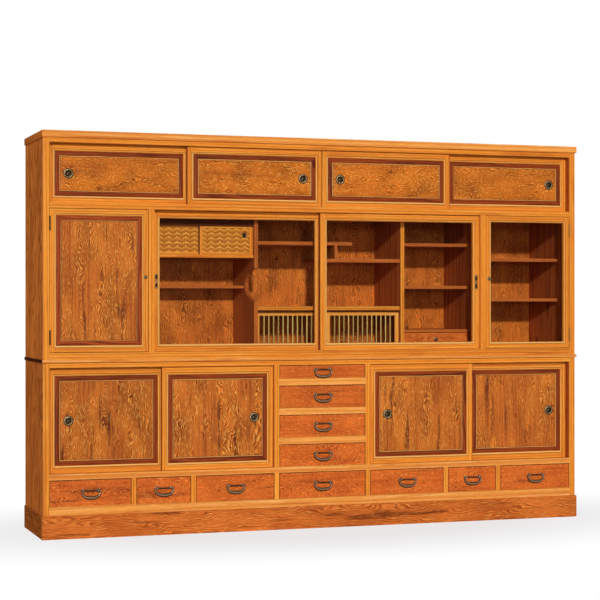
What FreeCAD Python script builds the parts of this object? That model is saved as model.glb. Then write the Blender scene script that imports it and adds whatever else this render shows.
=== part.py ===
"""Wide two-tier tea cabinet: sliding doors, hinged doors, display interior, drawers and drop bails.

Frame: X to the right, Y towards the back, Z up. The origin lies on the floor under the middle of the
cabinet's box. Lengths are in millimetres and come from the sheet "Sizes".
"""
import FreeCAD, Part
import os

doc = FreeCAD.newDocument("TeaCabinet")

# Driving sizes: one row of the sheet each
SIZES = {
    # Overall plan
    "width": 2560,
    "depth": 456,
    "side_overhang": 5,
    "front_overhang": 9,
    "side_thickness": 28,
    "back_thickness": 9,
    "back_inset": 6,
    # Heights of the bands, from the floor up
    "plinth_height": 100,
    "lower_bottom_rail": 37,
    "base_drawer_opening": 117,
    "lower_mid_rail": 25,
    "lower_door_opening": 459,
    "lower_top_rail": 22,
    "base_board_thickness": 13,
    "upper_bottom_rail": 30,
    "middle_opening": 625,
    "upper_mid_rail": 25,
    "top_opening": 259,
    "upper_top_rail": 21,
    "top_board_thickness": 30,
    # Carcass
    "plinth_board": 22,
    "plinth_bearer": 40,
    "bottom_deck_thickness": 15,
    "middle_deck_thickness": 18,
    "rail_depth": 50,
    "track_behind": 8,
    "partition_thickness": 27,
    "partition_inner_half": 783,
    "top_partition_thickness": 20,
    # Lower fronts
    "stack_width": 413,
    "post_thickness": 25,
    "divider_thickness": 22,
    "inner_divider_half": 606,
    "outer_divider_half": 875,
    "stack_rail": 30,
    "stack_top_drawer": 62,
    "runner_width": 14,
    "runner_height": 12,
    # Sliding doors
    "track_recess": 13,
    "track_gap": 3,
    "door_thickness": 21,
    "door_overlap": 19,
    "door_end_gap": 0.5,
    "door_floor_gap": 1,
    "door_head_gap": 1.5,
    "tongue_thickness": 8,
    "groove_clearance": 0.4,
    "floor_groove": 3,
    "head_groove": 10,
    "head_lift_room": 2,
    "panel_stile": 28,
    "top_door_rail": 29,
    "lower_door_rail": 32,
    "panel_thickness": 12,
    "panel_recess": 4,
    # Round recessed pulls
    "round_pull_radius": 23,
    "round_pull_cup": 17,
    "round_pull_depth": 9,
    "round_pull_floor": 1.5,
    "round_pull_inset": 88,
    "pull_fit": 0.05,
    # Glazed doors
    "glass_stile": 33,
    "glass_rail": 32,
    "pane_thickness": 4,
    "pane_recess": 8,
    "flush_pull_width": 14,
    "flush_pull_length": 58,
    "flush_pull_proud": 1,
    "flush_pull_height": 311,
    # Hinged doors
    "hinged_recess": 2,
    "hinged_thickness": 22,
    "hinged_gap": 2,
    "hinged_stile": 27,
    "hinged_rail": 29,
    "hinge_length": 63,
    "hinge_end_distance": 66,
    "knuckle_radius": 3.5,
    "knuckle_gap": 0.3,
    "hinge_pin_radius": 1.5,
    "hinge_pin_fit": 0.05,
    "hinge_stand_off": 0.5,
    "leaf_thickness": 0.8,
    "leaf_depth": 22,
    # Knobs
    "knob_height": 330,
    "knob_radius": 7,
    "knob_stem_radius": 3,
    "knob_stem": 6,
    "knob_plate_radius": 8,
    "knob_plate": 1.5,
    # Display interior
    "interior_front": 100,
    "shelf_setback": 12,
    "bay_setback": 38,
    "interior_rail": 40,
    "scoop_partition_place": -297,
    "scoop_partition_thickness": 17,
    "scoop_centre_height": 298,
    "scoop_half_height": 75,
    "scoop_reach": 150,
    "display_partition_place": 417,
    "display_partition_thickness": 18,
    "woven_floor_height": 419,
    "shelf_thickness": 15,
    "woven_opening": 129,
    "set_back_shelf_height": 282,
    "set_back_shelf_thickness": 13,
    "set_back_shelf_front": 265,
    "upper_stagger_height": 480,
    "upper_stagger_end": 180,
    "lower_stagger_height": 403,
    "lower_stagger_start": 50,
    "stagger_thickness": 16,
    "strut_place": 94,
    "strut_width": 14,
    "lattice_opening": 172,
    "lattice_rail": 10,
    "lattice_shelf_thickness": 17,
    "bay_upper_shelf_height": 481,
    "bay_lower_shelf_height": 281,
    "bay_drawer_floor": 13,
    "bay_drawer_opening": 64,
    "bay_cover_thickness": 13,
    "side_shelf_front": 120,
    "side_upper_shelf_height": 413,
    "side_lower_shelf_height": 222,
    # Small sliding doors
    "small_door_thickness": 9,
    "small_track_gap": 1.5,
    "small_floor_groove": 2,
    "small_head_groove": 5,
    "small_lift_room": 2,
    "small_groove_clearance": 0.4,
    "small_door_setback": 14,
    "woven_frame": 9,
    "woven_panel": 4,
    "woven_pull_radius": 12,
    "woven_pull_proud": 0.8,
    "woven_pull_inset": 38,
    "woven_pull_height": 90,
    "lattice_frame": 18,
    "lattice_bar": 6,
    "lattice_bar_depth": 5,
    # Drawers
    "drawer_gap": 1,
    "drawer_recess": 2,
    "drawer_front": 18,
    "drawer_side": 10,
    "drawer_back": 10,
    "drawer_bottom": 6,
    "drawer_bottom_lift": 4,
    "drawer_side_drop": 20,
    "drawer_back_room": 10,
    # Drop bails
    "bail_half_width": 41,
    "bail_drop": 35,
    "bail_wire": 3,
    "bail_eye": 3.4,
    "bail_pin_radius": 1.6,
    "bail_pin_fit": 0.05,
    "bail_pin_end_room": 0.5,
    "bail_eye_gap": 0.4,
    "bail_stand_off": 9,
    "bail_rise": 10,
    "pull_post_radius": 4.5,
    "pull_post_length": 14,
    "pull_plate_radius": 8,
    "pull_plate": 1.5,
}
LATTICE_BARS = 13

sheet = doc.addObject("Spreadsheet::Sheet", "Sizes")
for row, (size_name, value) in enumerate(SIZES.items(), start=1):
    sheet.set(f"A{row}", size_name)
    sheet.set(f"B{row}", str(value))
    sheet.setAlias(f"B{row}", size_name)
doc.recompute()


class Formula:
    """The text of an expression on the sheet, joined by ordinary arithmetic."""

    def __init__(self, text):
        self.text = str(text)

    def __str__(self):
        return self.text

    def __add__(self, other):
        return Formula(f"({self} + {other})")

    def __radd__(self, other):
        return Formula(f"({other} + {self})")

    def __sub__(self, other):
        return Formula(f"({self} - {other})")

    def __rsub__(self, other):
        return Formula(f"({other} - {self})")

    def __mul__(self, other):
        return Formula(f"({self} * {other})")

    def __truediv__(self, other):
        return Formula(f"({self} / {other})")

    def __neg__(self):
        return Formula(f"(0 - {self})")


class SizeNames:
    """Gives each size of the sheet as a formula: S.width stands for the cell named width."""

    def __getattr__(self, size_name):
        if size_name not in SIZES:
            raise AttributeError(size_name)
        return Formula(f"Sizes.{size_name}")


S = SizeNames()


def larger(first, second):
    """The larger of two formulas."""
    return Formula(f"max({first}; {second})")


# Helpers that make one solid each
def bind(obj, **formulas):
    """Bind properties of an object; base_x, base_y and base_z stand for its place."""
    for name, formula in formulas.items():
        path = f"Placement.Base.{name[-1]}" if name.startswith("base_") else name
        obj.setExpression(path, str(formula))
    return obj


def board(name, x, y, z):
    """A straight board between the limits (low, high) along each axis."""
    box = doc.addObject("Part::Box", name)
    bind(box, Length=x[1] - x[0], Width=y[1] - y[0], Height=z[1] - z[0])
    return bind(box, base_x=x[0], base_y=y[0], base_z=z[0])


AXIS_TURN = {
    "x": FreeCAD.Rotation(FreeCAD.Vector(0, 1, 0), 90),
    "y": FreeCAD.Rotation(FreeCAD.Vector(1, 0, 0), -90),
    "z": FreeCAD.Rotation(),
}


def rod(name, axis, x, y, z, radius, length):
    """A round rod from the point (x, y, z) along +X, +Y or +Z."""
    cylinder = doc.addObject("Part::Cylinder", name)
    cylinder.Placement = FreeCAD.Placement(FreeCAD.Vector(), AXIS_TURN[axis])
    bind(cylinder, Radius=radius, Height=length)
    return bind(cylinder, base_x=x, base_y=y, base_z=z)


def ball(name, x, y, z, radius):
    """A ball round the point (x, y, z)."""
    sphere = doc.addObject("Part::Sphere", name)
    bind(sphere, Radius=radius)
    return bind(sphere, base_x=x, base_y=y, base_z=z)


def joined(name, solids):
    """Several overlapping shapes as one solid."""
    fuse = doc.addObject("Part::MultiFuse", name)
    fuse.Shapes = solids
    return fuse


def cut(name, base, tools):
    """A solid with other shapes taken out of it."""
    tool = tools[0]
    if len(tools) > 1:
        tool = doc.addObject("Part::Compound", f"{name}_cuts")
        tool.Links = tools
    result = doc.addObject("Part::Cut", name)
    result.Base = base
    result.Tool = tool
    return result


subparts = []


def subpart(label, solids, x=0, y=0, z=0):
    """One named sub-part: its solids, placed together."""
    part = doc.addObject("Part::Compound", f"part_{label}")
    part.Links = solids
    part.Label = label
    bind(part, base_x=x, base_y=y, base_z=z)
    subparts.append(part)
    return part


def mirrored(limits, side):
    """Limits given for the right-hand side, or the same limits on the left."""
    return limits if side > 0 else (-limits[1], -limits[0])


# Levels up the cabinet
drawer_floor = S.plinth_height + S.lower_bottom_rail
base_ceiling = drawer_floor + S.base_drawer_opening
door_floor = base_ceiling + S.lower_mid_rail
door_ceiling = door_floor + S.lower_door_opening
lower_top = door_ceiling + S.lower_top_rail
base_top = lower_top + S.base_board_thickness
middle_floor = base_top + S.upper_bottom_rail
middle_ceiling = middle_floor + S.middle_opening
top_floor = middle_ceiling + S.upper_mid_rail
top_ceiling = top_floor + S.top_opening
body_top = top_ceiling + S.upper_top_rail
cabinet_top = body_top + S.top_board_thickness

# Planes across the cabinet
half_width = S.width / 2
body_half = half_width - S.side_overhang
inner_half = body_half - S.side_thickness
partition_outer_half = S.partition_inner_half + S.partition_thickness
stack_half = S.stack_width / 2
post_outer_half = stack_half + S.post_thickness
inner_post_half = (stack_half + post_outer_half) / 2

# Planes from front to back; the knobs and pull posts are what stands furthest forward
knob_length = S.knob_plate + S.knob_stem + S.knob_radius * 2
knob_reach = knob_length - S.hinged_recess - S.front_overhang
post_reach = S.pull_post_length - S.drawer_recess - S.front_overhang
front = -(S.depth - larger(knob_reach, post_reach)) / 2
back = front + S.depth
body_front = front + S.front_overhang
back_panel = (back - S.back_inset - S.back_thickness, back - S.back_inset)
front_track = body_front + S.track_recess
back_track = front_track + S.door_thickness + S.track_gap
track_end = back_track + S.door_thickness + S.track_behind
track_rail = (body_front, track_end)
plain_rail = (body_front, body_front + S.rail_depth)
behind_tracks = (track_end, back_panel[0])
partition_run = (body_front, back_panel[0])
interior_front = front + S.interior_front
shelf_front = interior_front + S.shelf_setback
bay_front = interior_front + S.bay_setback
upright_run = (interior_front, back_panel[0])
between_sides = (-inner_half, inner_half)
between_partitions = (-S.partition_inner_half, S.partition_inner_half)


# Carcass: outer boards
def side_pair(prefix, z):
    """The left and right side panels of one cabinet."""
    return [
        board(f"{prefix}_side_{word}", mirrored((inner_half, body_half), side), (body_front, back), z)
        for word, side in (("left", -1), ("right", 1))
    ]


subpart("top_board", [board("top_plank", (-half_width, half_width), (front, back), (body_top, cabinet_top))])
subpart("upper_side_panels", side_pair("upper", (base_top, body_top)))
subpart("upper_back_panel", [board("upper_back_sheet", between_sides, back_panel, (base_top, body_top))])
subpart("upper_base_board", [board("base_plank", (-half_width, half_width), (front, back), (lower_top, base_top))])
subpart("lower_side_panels", side_pair("lower", (S.plinth_height, lower_top)))
subpart("lower_back_panel", [board("lower_back_sheet", between_sides, back_panel, (S.plinth_height, lower_top))])

# Plinth: two front boards that meet at the centre, two ends, the back and three bearers
plinth_z = (0, S.plinth_height)
plinth_end_inner = half_width - S.plinth_board
plinth_inside = (front + S.plinth_board, back - S.plinth_board)
plinth_solids = []
for word, side in (("left", -1), ("right", 1)):
    plinth_solids.append(
        board(f"plinth_front_{word}", mirrored((0, half_width), side), (front, plinth_inside[0]), plinth_z))
    plinth_solids.append(
        board(f"plinth_end_{word}", mirrored((plinth_end_inner, half_width), side), (plinth_inside[0], back), plinth_z))
plinth_solids.append(
    board("plinth_back", (-plinth_end_inner, plinth_end_inner), (plinth_inside[1], back), plinth_z))
for word, centre in (("left", -half_width / 2), ("middle", Formula(0)), ("right", half_width / 2)):
    bearer_x = (centre - S.plinth_bearer / 2, centre + S.plinth_bearer / 2)
    plinth_solids.append(board(f"plinth_bearer_{word}", bearer_x, plinth_inside, plinth_z))
subpart("plinth", plinth_solids)


# Front rails with the grooves that the sliding doors run in
def groove_pair(name, x, z):
    """The cutting shapes of a front groove and a back groove along X."""
    inset = (S.door_thickness - S.tongue_thickness) / 2 - S.groove_clearance
    groove_width = S.tongue_thickness + S.groove_clearance * 2
    return [
        board(f"{name}_{word}", x, (track + inset, track + inset + groove_width), z)
        for word, track in (("front", front_track), ("back", back_track))
    ]


left_lower_bay = (-inner_half, -post_outer_half)
right_lower_bay = (post_outer_half, inner_half)


def head_groove(name, x, z):
    """Grooves above a row of doors, up from the underside z of its rail."""
    return groove_pair(name, x, (z, z + S.head_groove))


def floor_groove(name, x, z):
    """Grooves under a row of doors, down from the top z of its rail."""
    return groove_pair(name, x, (z - S.floor_groove, z))


head_rail = cut(
    "upper_head_rail",
    board("upper_head_rail_blank", between_sides, track_rail, (top_ceiling, body_top)),
    head_groove("upper_head_groove", between_sides, top_ceiling))
middle_rail = cut(
    "upper_middle_rail",
    board("upper_middle_rail_blank", between_sides, track_rail, (middle_ceiling, top_floor)),
    floor_groove("top_floor_groove", between_sides, top_floor)
    + head_groove("glass_head_groove", between_partitions, middle_ceiling))
bottom_rail = cut(
    "upper_bottom_rail_piece",
    board("upper_bottom_rail_blank", between_sides, track_rail, (base_top, middle_floor)),
    floor_groove("glass_floor_groove", between_partitions, middle_floor))
subpart("upper_front_rails", [head_rail, middle_rail, bottom_rail])

lower_head_rail = cut(
    "lower_head_rail",
    board("lower_head_rail_blank", between_sides, track_rail, (door_ceiling, lower_top)),
    head_groove("lower_left_head_groove", left_lower_bay, door_ceiling)
    + head_groove("lower_right_head_groove", right_lower_bay, door_ceiling))
lower_middle_rail = cut(
    "lower_middle_rail",
    board("lower_middle_rail_blank", between_sides, track_rail, (base_ceiling, door_floor)),
    floor_groove("lower_left_floor_groove", left_lower_bay, door_floor)
    + floor_groove("lower_right_floor_groove", right_lower_bay, door_floor))
lower_rails = [
    lower_head_rail,
    lower_middle_rail,
    board("lower_bottom_rail_piece", between_sides, plain_rail, (S.plinth_height, drawer_floor)),
]

# Drawer stack: a low top drawer and three equal ones, each on its rail
stack_drawer = (S.lower_door_opening - S.stack_top_drawer - S.stack_rail * 3) / 3
stack_levels = [(door_ceiling - S.stack_top_drawer, S.stack_top_drawer)]
for _ in range(3):
    upper_floor = stack_levels[-1][0]
    stack_levels.append((upper_floor - S.stack_rail - stack_drawer, stack_drawer))
runners = []
for number, (level, _) in enumerate(stack_levels[:-1], start=1):
    lower_rails.append(
        board(f"stack_rail_{number}", (-stack_half, stack_half), plain_rail, (level - S.stack_rail, level)))
    for word, side in (("left", -1), ("right", 1)):
        runner_x = mirrored((stack_half - S.runner_width, stack_half), side)
        runner_y = (plain_rail[1], back_panel[0])
        runners.append(
            board(f"runner_{number}_{word}", runner_x, runner_y, (level - S.runner_height, level)))
subpart("lower_front_rails", lower_rails)
subpart("drawer_runners", runners)

# Decks and uprights
subpart("upper_decks", [
    board("top_row_deck", between_sides, behind_tracks, (middle_ceiling, top_floor)),
    board("middle_deck", between_sides, behind_tracks, (middle_floor - S.middle_deck_thickness, middle_floor)),
])
subpart("lower_decks", [
    board("lower_top_deck", between_sides, behind_tracks, (door_ceiling, lower_top)),
    board("lower_middle_deck", between_sides, behind_tracks, (base_ceiling, door_floor)),
    board("lower_bottom_deck", between_sides, (plain_rail[1], back_panel[0]),
          (drawer_floor - S.bottom_deck_thickness, drawer_floor)),
])

top_partition_x = (-S.top_partition_thickness / 2, S.top_partition_thickness / 2)
upper_uprights = [board("top_row_partition", top_partition_x, behind_tracks, (top_floor, body_top))]
lower_uprights = []
divider_centres = {"stack": inner_post_half, "inner": S.inner_divider_half, "outer": S.outer_divider_half}
for word, side in (("left", -1), ("right", 1)):
    middle_x = mirrored((S.partition_inner_half, partition_outer_half), side)
    upper_uprights.append(
        board(f"middle_partition_{word}", middle_x, partition_run, (middle_floor, middle_ceiling)))
    post_x = mirrored((stack_half, post_outer_half), side)
    lower_uprights.append(board(f"stack_post_{word}", post_x, partition_run, (door_floor, door_ceiling)))
    for place, centre in divider_centres.items():
        divider_x = mirrored((centre - S.divider_thickness / 2, centre + S.divider_thickness / 2), side)
        lower_uprights.append(
            board(f"{place}_divider_{word}", divider_x, partition_run, (drawer_floor, base_ceiling)))
subpart("upper_partitions", upper_uprights)
subpart("lower_partitions", lower_uprights)

# Display interior: uprights
scoop_x = (S.scoop_partition_place, S.scoop_partition_place + S.scoop_partition_thickness)
display_x = (S.display_partition_place, S.display_partition_place + S.display_partition_thickness)
interior_z = (middle_floor, middle_ceiling)
scoop_ellipse = doc.addObject("Part::Ellipse", "scoop_ellipse")
ellipse_turn = FreeCAD.Rotation(FreeCAD.Vector(1, 1, 1), 120)
scoop_ellipse.Placement = FreeCAD.Placement(FreeCAD.Vector(), ellipse_turn)
bind(scoop_ellipse, MajorRadius=S.scoop_reach, MinorRadius=S.scoop_half_height)
bind(scoop_ellipse, base_x=scoop_x[0], base_y=interior_front, base_z=middle_floor + S.scoop_centre_height)
scoop_prism = doc.addObject("Part::Extrusion", "scoop_prism")
scoop_prism.Base = scoop_ellipse
scoop_prism.DirMode = "Custom"
scoop_prism.Dir = FreeCAD.Vector(1, 0, 0)
scoop_prism.Solid = True
bind(scoop_prism, LengthFwd=S.scoop_partition_thickness)
scoop_board = board("scoop_board", scoop_x, upright_run, interior_z)
subpart("scooped_partition", [cut("scooped_board", scoop_board, [scoop_prism])])

# Display interior: shelves, head rails and the grooves of the small doors
woven_x = (-S.partition_inner_half, scoop_x[0])
centre_x = (scoop_x[1], display_x[0])
bay_x = (display_x[1], S.partition_inner_half)
rail_run = (shelf_front, shelf_front + S.interior_rail)
small_front_track = shelf_front + S.small_door_setback
small_back_track = small_front_track + S.small_door_thickness + S.small_track_gap


def small_groove_pair(name, x, z):
    """The cutting shapes of the two grooves of a small pair of doors."""
    groove_width = S.small_door_thickness + S.small_groove_clearance * 2
    return [
        board(f"{name}_{word}", x,
              (track - S.small_groove_clearance, track - S.small_groove_clearance + groove_width), z)
        for word, track in (("front", small_front_track), ("back", small_back_track))
    ]


def shelf(name, x, y_front, z, thickness):
    """A shelf whose underside is z above the middle floor."""
    low = middle_floor + z
    return board(name, x, (y_front, back_panel[0]), (low, low + thickness))


woven_floor = middle_floor + S.woven_floor_height + S.shelf_thickness
woven_ceiling = woven_floor + S.woven_opening
lattice_ceiling = middle_floor + S.lattice_opening
lattice_shelf_z = S.lattice_opening + S.lattice_rail
lattice_sill_top = middle_floor + S.small_floor_groove

woven_shelf = cut(
    "woven_floor_shelf",
    shelf("woven_floor_blank", woven_x, shelf_front, S.woven_floor_height, S.shelf_thickness),
    small_groove_pair("woven_floor_groove", woven_x, (woven_floor - S.small_floor_groove, woven_floor)))
woven_head = cut(
    "woven_header",
    board("woven_header_blank", woven_x, rail_run, (woven_ceiling, middle_ceiling)),
    small_groove_pair("woven_head_groove", woven_x, (woven_ceiling, woven_ceiling + S.small_head_groove)))
lattice_head = cut(
    "lattice_head_rail",
    board("lattice_head_blank", centre_x, rail_run, (lattice_ceiling, lattice_ceiling + S.lattice_rail)),
    small_groove_pair("lattice_head_groove", centre_x, (lattice_ceiling, lattice_ceiling + S.small_head_groove)))
lattice_sill = cut(
    "lattice_sill",
    board("lattice_sill_blank", centre_x, rail_run, (middle_floor, middle_floor + S.small_floor_groove * 2)),
    small_groove_pair("lattice_sill_groove", centre_x, (lattice_sill_top, lattice_sill_top + S.small_floor_groove)))
bay_floor_top = middle_floor + S.bay_drawer_floor
bay_cover_z = S.bay_drawer_floor + S.bay_drawer_opening
side_shelf_y = front + S.side_shelf_front
fixed_shelves = [
    woven_shelf,
    woven_head,
    shelf("set_back_shelf", woven_x, front + S.set_back_shelf_front,
          S.set_back_shelf_height, S.set_back_shelf_thickness),
    lattice_head,
    lattice_sill,
    shelf("lattice_shelf", centre_x, shelf_front, lattice_shelf_z, S.lattice_shelf_thickness),
    board("display_partition", display_x, upright_run, interior_z),
    shelf("bay_upper_shelf", bay_x, bay_front, S.bay_upper_shelf_height, S.shelf_thickness),
    shelf("bay_lower_shelf", bay_x, bay_front, S.bay_lower_shelf_height, S.shelf_thickness),
    shelf("bay_drawer_cover", bay_x, bay_front, bay_cover_z, S.bay_cover_thickness),
    board("bay_drawer_floor_board", bay_x, (bay_front, back_panel[0]), (middle_floor, bay_floor_top)),
]
for word, side in (("left", -1), ("right", 1)):
    cupboard_x = mirrored((partition_outer_half, inner_half), side)
    for level, height in (("upper", S.side_upper_shelf_height), ("lower", S.side_lower_shelf_height)):
        fixed_shelves.append(
            shelf(f"{word}_cupboard_{level}_shelf", cupboard_x, side_shelf_y, height, S.shelf_thickness))
subpart("fixed_shelves", fixed_shelves)

strut_low = middle_floor + S.lower_stagger_height + S.stagger_thickness
strut_z = (strut_low, middle_floor + S.upper_stagger_height)
subpart("staggered_shelves", [
    shelf("upper_staggered_shelf", (scoop_x[1], S.upper_stagger_end), shelf_front,
          S.upper_stagger_height, S.stagger_thickness),
    shelf("lower_staggered_shelf", (S.lower_stagger_start, display_x[0]), shelf_front,
          S.lower_stagger_height, S.stagger_thickness),
    board("stagger_strut", (S.strut_place, S.strut_place + S.strut_width), rail_run, strut_z),
])


# Doors, each built in its own frame: x from its left edge, y from its face, z from its lower edge
def door_frame(name, width, height, thickness, stile, rail):
    """Two stiles and, between them, two rails."""
    run = (0, thickness)
    return [
        board(f"{name}_left_stile", (0, stile), run, (0, height)),
        board(f"{name}_right_stile", (width - stile, width), run, (0, height)),
        board(f"{name}_bottom_rail", (stile, width - stile), run, (0, rail)),
        board(f"{name}_top_rail", (stile, width - stile), run, (height - rail, height)),
    ]


def tongues(name, width, height):
    """The running tongues under and over a sliding door."""
    inset = (S.door_thickness - S.tongue_thickness) / 2
    run = (inset, inset + S.tongue_thickness)
    rise = S.door_head_gap + S.head_groove - S.head_lift_room
    return [
        board(f"{name}_floor_tongue", (0, width), run, (-(S.door_floor_gap + S.floor_groove), 0)),
        board(f"{name}_head_tongue", (0, width), run, (height, height + rise)),
    ]


def round_pull(name, x, y, z):
    """A round finger pull, cup side out, whose rim lies in the plane y."""
    body = rod(f"{name}_body", "y", x, y, z, S.round_pull_radius, S.round_pull_depth)
    cup_depth = S.round_pull_depth - S.round_pull_floor
    cup = rod(f"{name}_cup", "y", x, y, z, S.round_pull_cup, cup_depth)
    return cut(name, body, [cup])


def pulled_panel(name, x, z, pull_x):
    """The panel of a sliding door with its round pull let into it."""
    plane = S.panel_recess
    pull_z = (z[0] + z[1]) / 2
    sheet_board = board(f"{name}_panel_blank", x, (plane, plane + S.panel_thickness), z)
    seat = rod(f"{name}_pull_seat", "y", pull_x, plane, pull_z,
               S.round_pull_radius + S.pull_fit, S.round_pull_depth)
    return [
        cut(f"{name}_panel", sheet_board, [seat]),
        round_pull(f"{name}_pull", pull_x, plane, pull_z),
    ]


def sliding_panel_door(label, width, height, rail, pull_x):
    """The solids of a framed panel door."""
    solids = door_frame(label, width, height, S.door_thickness, S.panel_stile, rail)
    solids += tongues(label, width, height)
    return solids + pulled_panel(label, (S.panel_stile, width - S.panel_stile), (rail, height - rail), pull_x)


def door_width(opening):
    """The width of each door of a pair that overlaps in an opening."""
    return (opening[1] - opening[0] + S.door_overlap) / 2 - S.door_end_gap


def pair_places(opening, width):
    """The left edges of the two doors of a pair."""
    return opening[0] + S.door_end_gap, opening[1] - S.door_end_gap - width


def panel_door_pair(labels, opening, floor, opening_height, rail, tracks):
    """Two panel doors in one opening, each with its pull near the outer edge of the pair."""
    width = door_width(opening)
    height = opening_height - S.door_floor_gap - S.door_head_gap
    pull_places = (S.round_pull_inset, width - S.round_pull_inset)
    for label, place, track, pull_x in zip(labels, pair_places(opening, width), tracks, pull_places):
        solids = sliding_panel_door(label, width, height, rail, pull_x)
        subpart(label, solids, place, track, floor + S.door_floor_gap)


outer_first = (back_track, front_track)
inner_first = (front_track, back_track)
panel_door_pair(("top_door_1", "top_door_2"), (-inner_half, Formula(0)), top_floor, S.top_opening,
                S.top_door_rail, outer_first)
panel_door_pair(("top_door_3", "top_door_4"), (Formula(0), inner_half), top_floor, S.top_opening,
                S.top_door_rail, inner_first)
panel_door_pair(("lower_door_1", "lower_door_2"), left_lower_bay, door_floor, S.lower_door_opening,
                S.lower_door_rail, outer_first)
panel_door_pair(("lower_door_3", "lower_door_4"), right_lower_bay, door_floor, S.lower_door_opening,
                S.lower_door_rail, inner_first)

# Glazed sliding doors: frame and pane are sub-parts of their own
glass_width = door_width(between_partitions)
glass_height = S.middle_opening - S.door_floor_gap - S.door_head_gap
flush_pull_places = (S.glass_stile / 2, glass_width - S.glass_stile / 2)
glass_places = pair_places(between_partitions, glass_width)
for word, place, track, pull_x in zip(("left", "right"), glass_places, outer_first, flush_pull_places):
    label = f"glass_door_{word}"
    glass_z = middle_floor + S.door_floor_gap
    pull_low = S.flush_pull_height - S.flush_pull_length / 2
    flush_pull = board(
        f"{label}_flush_pull",
        (pull_x - S.flush_pull_width / 2, pull_x + S.flush_pull_width / 2),
        (-S.flush_pull_proud, 0),
        (pull_low, pull_low + S.flush_pull_length))
    frame_solids = door_frame(label, glass_width, glass_height, S.door_thickness, S.glass_stile, S.glass_rail)
    frame_solids += tongues(label, glass_width, glass_height)
    subpart(f"{label}_frame", frame_solids + [flush_pull], place, track, glass_z)
    pane = board(
        f"{label}_pane",
        (S.glass_stile, glass_width - S.glass_stile),
        (S.pane_recess, S.pane_recess + S.pane_thickness),
        (S.glass_rail, glass_height - S.glass_rail))
    subpart(f"glass_pane_{word}", [pane], place, track, glass_z)


# Hinged doors, with the moving halves of their butt hinges
def knob(name, x, y, z):
    """A knob whose plate lies on the plane y and which stands out towards -Y."""
    stem = S.knob_plate + S.knob_stem
    return joined(name, [
        rod(f"{name}_plate", "y", x, y - S.knob_plate, z, S.knob_plate_radius, S.knob_plate),
        rod(f"{name}_stem", "y", x, y - stem - S.knob_radius, z, S.knob_stem_radius, stem + S.knob_radius),
        ball(f"{name}_ball", x, y - stem - S.knob_radius, z, S.knob_radius),
    ])


hinged_width = inner_half - partition_outer_half - S.hinged_gap * 2
hinged_height = S.middle_opening - S.hinged_gap * 2
hinged_face = body_front + S.hinged_recess
hinge_axis_half = inner_half - S.hinged_gap / 2
hinge_axis_y = body_front - S.hinge_stand_off - S.knuckle_radius
knuckle_length = (S.hinge_length - S.knuckle_gap * 2) / 3
hinge_centres = {
    "lower": middle_floor + S.hinge_end_distance,
    "upper": middle_ceiling - S.hinge_end_distance,
}


def knuckle_levels(centre):
    """The lower limits of the three knuckles of a hinge."""
    low = centre - S.hinge_length / 2
    step = knuckle_length + S.knuckle_gap
    return low, low + step, low + step * 2


def moving_half(name, side, centre):
    """The middle knuckle, bored for the pin, with its leaf on the door's edge."""
    axis_x = hinge_axis_half * side
    low = knuckle_levels(centre)[1]
    barrel = rod(f"{name}_barrel", "z", axis_x, hinge_axis_y, low, S.knuckle_radius, knuckle_length)
    bore_radius = S.hinge_pin_radius + S.hinge_pin_fit
    bore = rod(f"{name}_bore", "z", axis_x, hinge_axis_y, low, bore_radius, knuckle_length)
    door_edge = inner_half - S.hinged_gap
    leaf_x = mirrored((door_edge, door_edge + S.leaf_thickness), side)
    wall_middle = hinge_axis_y + (bore_radius + S.knuckle_radius) / 2
    leaf = board(f"{name}_leaf", leaf_x, (wall_middle, hinge_axis_y + S.leaf_depth), (low, low + knuckle_length))
    return joined(name, [cut(f"{name}_ring", barrel, [bore]), leaf])


def fixed_half(name, side, centre):
    """The two outer knuckles with the pin and their leaves on the side panel."""
    axis_x = hinge_axis_half * side
    levels = knuckle_levels(centre)
    pieces = [rod(f"{name}_pin", "z", axis_x, hinge_axis_y, levels[0], S.hinge_pin_radius, S.hinge_length)]
    leaf_x = mirrored((inner_half - S.leaf_thickness, inner_half), side)
    for word, low in (("low", levels[0]), ("high", levels[2])):
        pieces.append(
            rod(f"{name}_{word}_barrel", "z", axis_x, hinge_axis_y, low, S.knuckle_radius, knuckle_length))
        leaf_y = (hinge_axis_y, hinge_axis_y + S.leaf_depth)
        pieces.append(board(f"{name}_{word}_leaf", leaf_x, leaf_y, (low, low + knuckle_length)))
    return joined(name, pieces)


def hinged_frame(label, side):
    """Frame, knob and moving hinge halves of a hinged door, in the cabinet's own frame."""
    low_x, high_x = mirrored((partition_outer_half + S.hinged_gap, inner_half - S.hinged_gap), side)
    low_z = middle_floor + S.hinged_gap
    high_z = low_z + hinged_height
    run = (hinged_face, hinged_face + S.hinged_thickness)
    inner_x = (low_x + S.hinged_stile, high_x - S.hinged_stile)
    inner_z = (low_z + S.hinged_rail, high_z - S.hinged_rail)
    solids = [
        board(f"{label}_left_stile", (low_x, inner_x[0]), run, (low_z, high_z)),
        board(f"{label}_right_stile", (inner_x[1], high_x), run, (low_z, high_z)),
        board(f"{label}_bottom_rail", inner_x, run, (low_z, inner_z[0])),
        board(f"{label}_top_rail", inner_x, run, (inner_z[1], high_z)),
    ]
    knob_x = (partition_outer_half + S.hinged_gap + S.hinged_stile / 2) * side
    solids.append(knob(f"{label}_knob", knob_x, hinged_face, middle_floor + S.knob_height))
    for word, centre in hinge_centres.items():
        solids.append(moving_half(f"{label}_{word}_hinge", side, centre))
    return solids, inner_x, inner_z


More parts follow.
